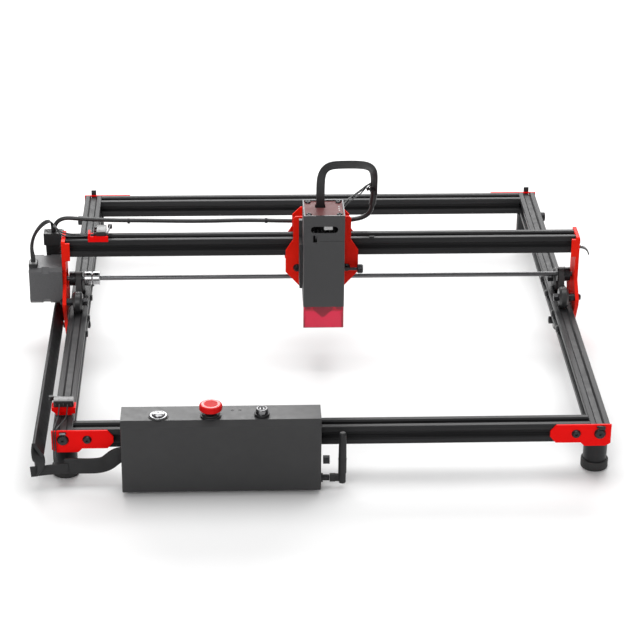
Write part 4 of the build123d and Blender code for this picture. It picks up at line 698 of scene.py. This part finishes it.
def belts():
    """Both side belts and the beam belt, each as two spans, a hump over its pulley and its ends."""
    first = None
    for side, word in ((-1, "left"), (1, "right")):
        def place(u, v, w, side=side):
            return (side * RAIL_X + w, u, RAIL_TOP + v)

        hump = belt(word + "_belt_hump", belt_route(0, WHEEL_Y, WHEEL_UP, SHAFT_Z - RAIL_TOP, "hump"),
                    place, -1)
        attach(hump, "gantry")
        first = first or hump
        for end, name in ((1, "rear"), (-1, "front")):
            route = [(end * u, v) for u, v in belt_route(BACK + 3, WHEEL_Y, WHEEL_UP, 0, "span")]
            span = belt("%s_belt_%s" % (word, name), route, place, 1 if end > 0 else -1)
            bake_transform(span)
        tail = [(BACK + 2.4, -BELT_DEPTH), (BACK + 3.6, -BELT_DEPTH + 0.4), (BACK + 3.7, -BELT_DEPTH + 2),
                (BACK + 3.7, 5.6)]
        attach(belt(word + "_belt_tail", tail, place, -1), "frame")
    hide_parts("y_belts")

    def beam_place(u, v, w):
        return (u, w, BEAM_BOTTOM - v)

    hump = belt("beam_belt_hump", belt_route(0, CAR_WHEEL_X, WHEEL_UP, BEAM_BOTTOM - CAR_MOTOR_Z, "hump"),
                beam_place, -1)
    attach(hump, "carriage")
    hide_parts("x_belt")
    for end, name in ((1, "right"), (-1, "left")):
        route = [(end * u, v) for u, v in belt_route(PLATE_OUT + 3, CAR_WHEEL_X, WHEEL_UP, 0, "span")]
        span = belt("beam_belt_" + name, route, beam_place, 1 if end > 0 else -1)
        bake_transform(span)
    curl = [(PLATE_OUT + 2, -BELT_DEPTH)]
    for k in range(13):
        a = math.radians(90 - 82 * k / 12)
        curl.append((PLATE_OUT + 3 + 10 * math.cos(a), -BELT_DEPTH + 10 - 10 * math.sin(a)))
    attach(belt("beam_belt_tail", curl, beam_place, 1), "gantry")


# ---------------------------------------------------------------- trim
def ring(name, centre, along, inner, outer, low, high, finish, body, sides=40):
    """A flat ring, or a disc when inner is 0, riding a body."""
    obj = turned(name, centre, along, [(low, inner), (low, outer), (high, outer), (high, inner)], finish,
                 sides)
    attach(obj, body)
    return obj


def slab(name, centre, size, finish, body, soft=0.3):
    """A small block riding a body."""
    (x, y, z), (w, d, h) = centre, size
    obj = plate(name, box_outline(x, y, w, d), z - h / 2, z + h / 2, "z", finish, soft)
    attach(obj, body)
    return obj


def motor_trim(word, body, back, away, side, up):
    """Four cover screws and a bearing boss on a stepper motor's back."""
    back, away, side, up = Vector(back), Vector(away), Vector(side), Vector(up)
    for k, (a, b) in enumerate(((-1, -1), (1, -1), (1, 1), (-1, 1))):
        at = back + side * 15.5 * a + up * 15.5 * b
        profile = [(-0.1, 0), (-0.1, 2.7), (0.3, 2.7), (0.55, 2.3), (0.55, 1.3), (0.15, 1.1), (0.15, 0)]
        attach(turned("%s_motor_screw_%d" % (word, k + 1), at, away, profile, "bolt", 24), body)
    boss = [(-0.1, 2.6), (-0.1, 9.0), (0.35, 9.0), (0.5, 8.8), (0.5, 6.4), (0.25, 6.2), (0.25, 2.6)]
    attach(turned(word + "_motor_boss", back, away, boss, "motor_end", 48), body)


def gantry_trim():
    """Bearings, coupling, switch and plug details that move with the gantry; the switch and plug tops carry a
    painted highlight, the switch holes and coupling slits painted shade.
    """
    motor_trim("gantry", "gantry", (-320, 0, SHAFT_Z), (-1, 0, 0), Y_AXIS, Z_AXIS)
    slab("gantry_motor_plug", (-315.4, -12, 107.6), (9.3, 13.3, 4.4), "plastic", "gantry", 0.5)
    # Painted highlight: a light grey sheet on the plug's top face.
    slab("gantry_motor_plug_highlight", (-315.4, -12, 109.7), (7.6, 11.4, 0.3), "painted_highlight_grey", "gantry", 0.1)
    wheels = (("front_wheels", -WHEEL_Y, RAIL_TOP + WHEEL_UP),
              ("rear_wheels", WHEEL_Y, RAIL_TOP + WHEEL_UP),
              ("lower_wheels", 0, RAIL_TOP - 20 - WHEEL_UP))
    for body, y, z in wheels:
        for side, word in ((-1, "left"), (1, "right")):
            for way, end in ((-1, "in"), (1, "out")):
                ring("%s_%s_bearing_%s" % (body, word, end), (side * RAIL_X, y, z), (side * way, 0, 0),
                     4.3, 7.9, 4.9, 5.18, "steel", body)
    for k, x in enumerate((-256.9, -248.1)):
        # Painted shade: a thin dark strip on the coupling's front face where its clamp slit is.
        gap_shade = plate("coupling_slit_%d" % (k + 1), [(-7.35, SHAFT_Z + 0.2), (-6.9, SHAFT_Z + 0.2),
                                                    (-6.9, SHAFT_Z + 0.75), (-7.35, SHAFT_Z + 0.75)],
                     x - 3.9, x + 3.9, "x", "bolt", 0.0)
        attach(gap_shade, "drive_shaft")
        lean = Vector((0, -0.45, 0.9))
        ring("coupling_screw_%d" % (k + 1), (x, 0, SHAFT_Z), lean, 0, 1.9, 6.9, 7.28, "bolt", "drive_shaft",
             24)
    for side, word in ((-1, "left"), (1, "right")):
        hub = (side * (RAIL_X + 7.2), 0, SHAFT_Z)
        ring(word + "_pulley_screw", hub, (0, -0.8, 0.6), 0, 1.6, 7.2, 7.75, "bolt", "drive_shaft", 24)
    # Painted highlight: a thin light grey sheet over the switch's top face.
    slab("x_switch_lid", (-240.5, 0, 143.7), (9.7, 19.4, 0.35), "painted_highlight_grey", "gantry", 0.1)
    # Painted shade: dark discs on the switch top where its two screw holes are.
    for k, y in enumerate((-4.75, 4.75)):
        ring("x_switch_hole_shade_%d" % (k + 1), (X_SWITCH_HOLES_X, y, 143.6), (0, 0, 1), 0, 1.3, 0, 0.34,
             "switch", "gantry", 24)
    ring("x_lever_tip", (-231.85, 13.2, 138.3), (0, 0, 1), 0, 2.45, 0, 4.2, "plastic", "x_lever", 24)
    slab("beam_clip", (55, -8.0, 134.7), (5.2, 3.0, 1.8), "plastic", "gantry", 0.4)
    for side, word in ((-1, "left"), (1, "right")):
        ring(word + "_plate_washer", (side * PLATE_OUT, 0, BEAM_BOTTOM + 10), (side, 0, 0), 4.65, 5.6,
             -0.05, 0.5, "bolt", "gantry")


def carriage_trim():
    """Details of the carriage, its wheels and the thumb knob."""
    motor_trim("carriage", "carriage", (0, 56, CAR_MOTOR_Z), (0, 1, 0), X_AXIS, Z_AXIS)
    slab("carriage_motor_plug", (0, 51.3, 123.9), (13.3, 9.3, 4.4), "plastic", "carriage", 0.5)
    for body, x, z in (("left_wheel", -CAR_WHEEL_X, BEAM_BOTTOM - WHEEL_UP),
                       ("right_wheel", CAR_WHEEL_X, BEAM_BOTTOM - WHEEL_UP),
                       ("upper_wheel", 0, BEAM_TOP + WHEEL_UP)):
        for way, end in ((-1, "front"), (1, "rear")):
            ring("%s_bearing_%s" % (body, end), (x, 0, z), (0, way, 0), 4.3, 7.9, 4.9, 5.18, "steel", body)
    teeth = []
    for k in range(48):
        r = 4.85 if k % 2 else 4.55
        a = 2 * math.pi * k / 48
        teeth.append((-25.4 + r * math.cos(a), 104.3 + r * math.sin(a)))
    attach(plate("thumb_knob_knurl", teeth, 39.3, 44.0, "x", "bolt", 0.0), "thumb_knob")


def head_trim():
    """Rim, screws and small lights of the laser head, and the tabs that hold its shield."""
    rim = join("head_rim", [
        plate("rim_%d" % k, box_outline(x, y, w, d), HEAD_TOP - 0.6, HEAD_TOP + 0.35, "z", "rim", 0.0)
        for k, (x, y, w, d) in enumerate(((0, HEAD_Y - 21.35, 43.6, 1.4), (0, HEAD_Y + 21.35, 43.6, 1.4),
                                          (-21.2, HEAD_Y, 1.2, 41.3), (21.2, HEAD_Y, 1.2, 41.3)))])
    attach(rim, "laser_head")
    for k, (a, b) in enumerate(((-1, -1), (1, -1), (1, 1), (-1, 1))):
        profile = [(-0.1, 0), (-0.1, 3.1), (0.5, 3.1), (1.2, 2.7), (1.75, 1.9), (1.85, 1.2), (1.0, 1.0),
                   (1.0, 0)]
        at = (16.3 * a, HEAD_Y + 16.9 * b, HEAD_TOP - 0.8)
        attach(turned("head_screw_%d" % (k + 1), at, (0, 0, 1), profile, "rim", 28), "laser_head")
    for k, y in enumerate((-45.0, -50.0, -55.0)):
        ring("head_light_%d" % (k + 1), (16.6, y, HEAD_TOP - 0.8), (0, 0, 1), 0, 0.8, -0.1, 0.25, "pale",
             "laser_head", 16)
    slab("head_plug", (4.3, -69.9, 173.3), (9.2, 1.8, 4.4), "pale", "laser_head", 0.3)
    slab("head_seam", (8.5, HEAD_FRONT + 0.02, 158.6), (27, 0.14, 0.5), "switch", "laser_head", 0.0)
    for side, word in ((-1, "left"), (1, "right")):
        slab("shield_tab_" + word, (side * 16.5, -69.7, 79.3), (6.5, 0.8, 4.0), "head", "laser_head", 0.2)


def frame_trim():
    """Lamps, dome, rings, belt clips and painted light that stay with the frame: a painted shadow round the power
    button, a painted highlight on the stop cap's rim and the switch top, painted shade in the switch holes and
    along the box creases.
    """
    for k, x in enumerate((-99.4, -92.0)):
        ring("lamp_%d" % (k + 1), (x, -304.5, BOX_TOP), (0, 0, 1), 0, 1.45, -2.2, 0.12, "lens", "frame", 24)
    dome = [(-0.1, 0), (-0.1, 5.9), (0.35, 5.6), (0.8, 4.4), (1.05, 2.8), (0.85, 1.4), (0.7, 0)]
    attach(turned("power_button_dome", (BUTTON_X, CONTROL_Y, BOX_TOP + 2.6), (0, 0, 1), dome, "chrome",
                   48), "power_button")
    ring("power_button_shadow", (BUTTON_X, CONTROL_Y, BOX_TOP), (0, 0, 1), 9.1, 10.0, -0.05, 0.5, "plastic",
         "frame", 48)
    # The raised rim on the stop cap carries a painted highlight in the paler red.
    lip = [(0, 6.6), (0, 9.4), (0.3, 9.1), (0.42, 8.0), (0.3, 6.9)]
    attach(turned("stop_cap_ring", (STOP_X, CONTROL_Y, 95.25), (0, 0, 1), lip, "stop_painted_highlight", 48),
            "stop_cap")
    ring("key_collar", (KEY_X, CONTROL_Y, BOX_TOP), (0, 0, 1), 6.0, 7.5, -0.05, 2.55, "plastic", "frame",
         48)
    ring("key_face", (KEY_X, CONTROL_Y, BOX_TOP + 7.2), (0, 0, 1), 2.4, 4.1, -0.1, 0.05, "plastic", "key",
         32)
    # Painted shade: a thin dark line along a crease near each lower front corner of the box.
    for x, way, word in ((BOX_L + 5.0, 1, "left"), (BOX_R - 5.0, -1, "right")):
        a, b = (x - 2.2 * way, 25.2), (x + 2.2 * way, 20.8)
        crease_painted_shade = plate("box_crease_shade_" + word, [(a[0], a[1]), (a[0] + 0.4, a[1] + 0.4),
                                            (b[0] + 0.4, b[1] + 0.4), (b[0], b[1])],
                     BOX_FRONT - 0.06, BOX_FRONT + 0.3, "y", "switch", 0.0)
        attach(crease_painted_shade, "frame")
    ring("antenna_collar", (-10.2, -315, ANTENNA_Z), (1, 0, 0), 3.15, 4.3, 0, 6.4, "bolt", "frame", 28)
    slab("left_belt_clip", (-RAIL_X, -298.8, 54.6), (6.0, 1.0, 1.8), "sink", "frame", 0.3)
    slab("right_belt_clip", (RAIL_X + 1.5, -298.8, 54.0), (6.5, 1.2, 4.0), "plastic", "frame", 0.3)
    # Painted highlight: a thin light grey sheet over the switch's top face.
    slab("y_switch_lid", (-268, -259, 72.7), (19.4, 9.7, 0.35), "painted_highlight_grey", "frame", 0.1)
    # Painted shade: dark discs on the switch top where its two screw holes are.
    for k, x in enumerate((-272.75, -263.25)):
        ring("y_switch_hole_shade_%d" % (k + 1), (x, -261.3, 72.6), (0, 0, 1), 0, 1.3, 0, 0.34, "switch", "frame",
             24)
    ring("y_lever_tip", (-281.2, -250.35, 67.3), (0, 0, 1), 0, 2.45, 0, 4.2, "plastic", "y_lever", 24)
    ring("antenna_band", (9.0, -315, ANTENNA_Z), (0, 0, 1), 4.1, 4.35, 0, 0.8, "plastic", "antenna", 32)


# ---------------------------------------------------------------- carried-over nodes
def finishes():
    soft = {
        "left_rail": ("rail_y", 0.25), "right_rail": ("rail_y", 0.25), "front_rail": ("rail_x", 0.25),
        "rear_rail": ("rail_x", 0.25), "gantry_beam": ("rail_x", 0.25), "corner_brackets": ("red", 0.5),
        "frame_fasteners": ("bolt", 0.25), "gantry_fasteners": ("bolt", 0.25),
        "carriage_axles": ("bolt", 0.25),
        "foot_tubes": ("black_tube", 0.3), "foot_pads": ("rubber", 0.3), "box_cover": ("charcoal", 1.0),
        "box_back_plate": ("charcoal", 0.3), "controller_board": ("board", 0.2),
        "power_button_bezel": ("chrome", 0.25), "power_button_cap": ("chrome", 0.15),
        "emergency_stop_base": ("plastic", 0.3), "emergency_stop_plunger": ("plastic", 0.2),
        "emergency_stop_cap": ("stop", 0.25), "key_switch_body": ("chrome", 0.25),
        "key_barrel": ("steel", 0.15),
        "antenna_connector": ("bolt", 0.2), "antenna_knuckle": ("plastic", 0.3),
        "antenna_whip": ("plastic", 0.2),
        "y_switch_bracket": ("red", 0.3), "y_limit_switch": ("switch", 0.25),
        "y_switch_lever": ("steel", 0.1),
        "x_switch_bracket": ("red", 0.3), "x_limit_switch": ("switch", 0.25),
        "x_switch_lever": ("steel", 0.1),
        "left_gantry_plate": ("red_orange", 0.5), "right_gantry_plate": ("red_orange", 0.5),
        "y_motor": ("motor_end", 0.5),
        "cable_clamp": ("plastic", 0.4), "drive_shafts": ("steel", 0.15),
        "shaft_coupling": ("silver", 0.15),
        "y_pulleys": ("bolt", 0.2), "front_y_wheels": ("wheel", 0.3), "rear_y_wheels": ("wheel", 0.3),
        "lower_y_wheels": ("wheel", 0.3), "carriage_front_plate": ("red_orange", 0.5),
        "carriage_rear_plate": ("red_orange", 0.5),
        "x_motor": ("motor_end", 0.5), "x_pulley": ("bolt", 0.2), "left_x_wheel": ("wheel", 0.3),
        "right_x_wheel": ("wheel", 0.3), "upper_x_wheel": ("wheel", 0.3), "laser_mount": ("mount", 0.4),
        "thumb_screw": ("bolt", 0.2), "head_housing": ("head", 0.4), "head_top_plate": ("cap", 0.2),
        "heat_sink": ("sink", 0.15), "laser_nozzle": ("bolt", 0.2), "cooling_fan": ("plastic", 0.15),
        "laser_shield": ("shield", 0.3),
    }
    for node, (finish, width_mm) in soft.items():
        dress(node, finish, width_mm)


finishes()
head_cable()
beam_cable()
side_ribbon()
thin_wires()
belts()
gantry_trim()
carriage_trim()
head_trim()
frame_trim()
camera()
studio()
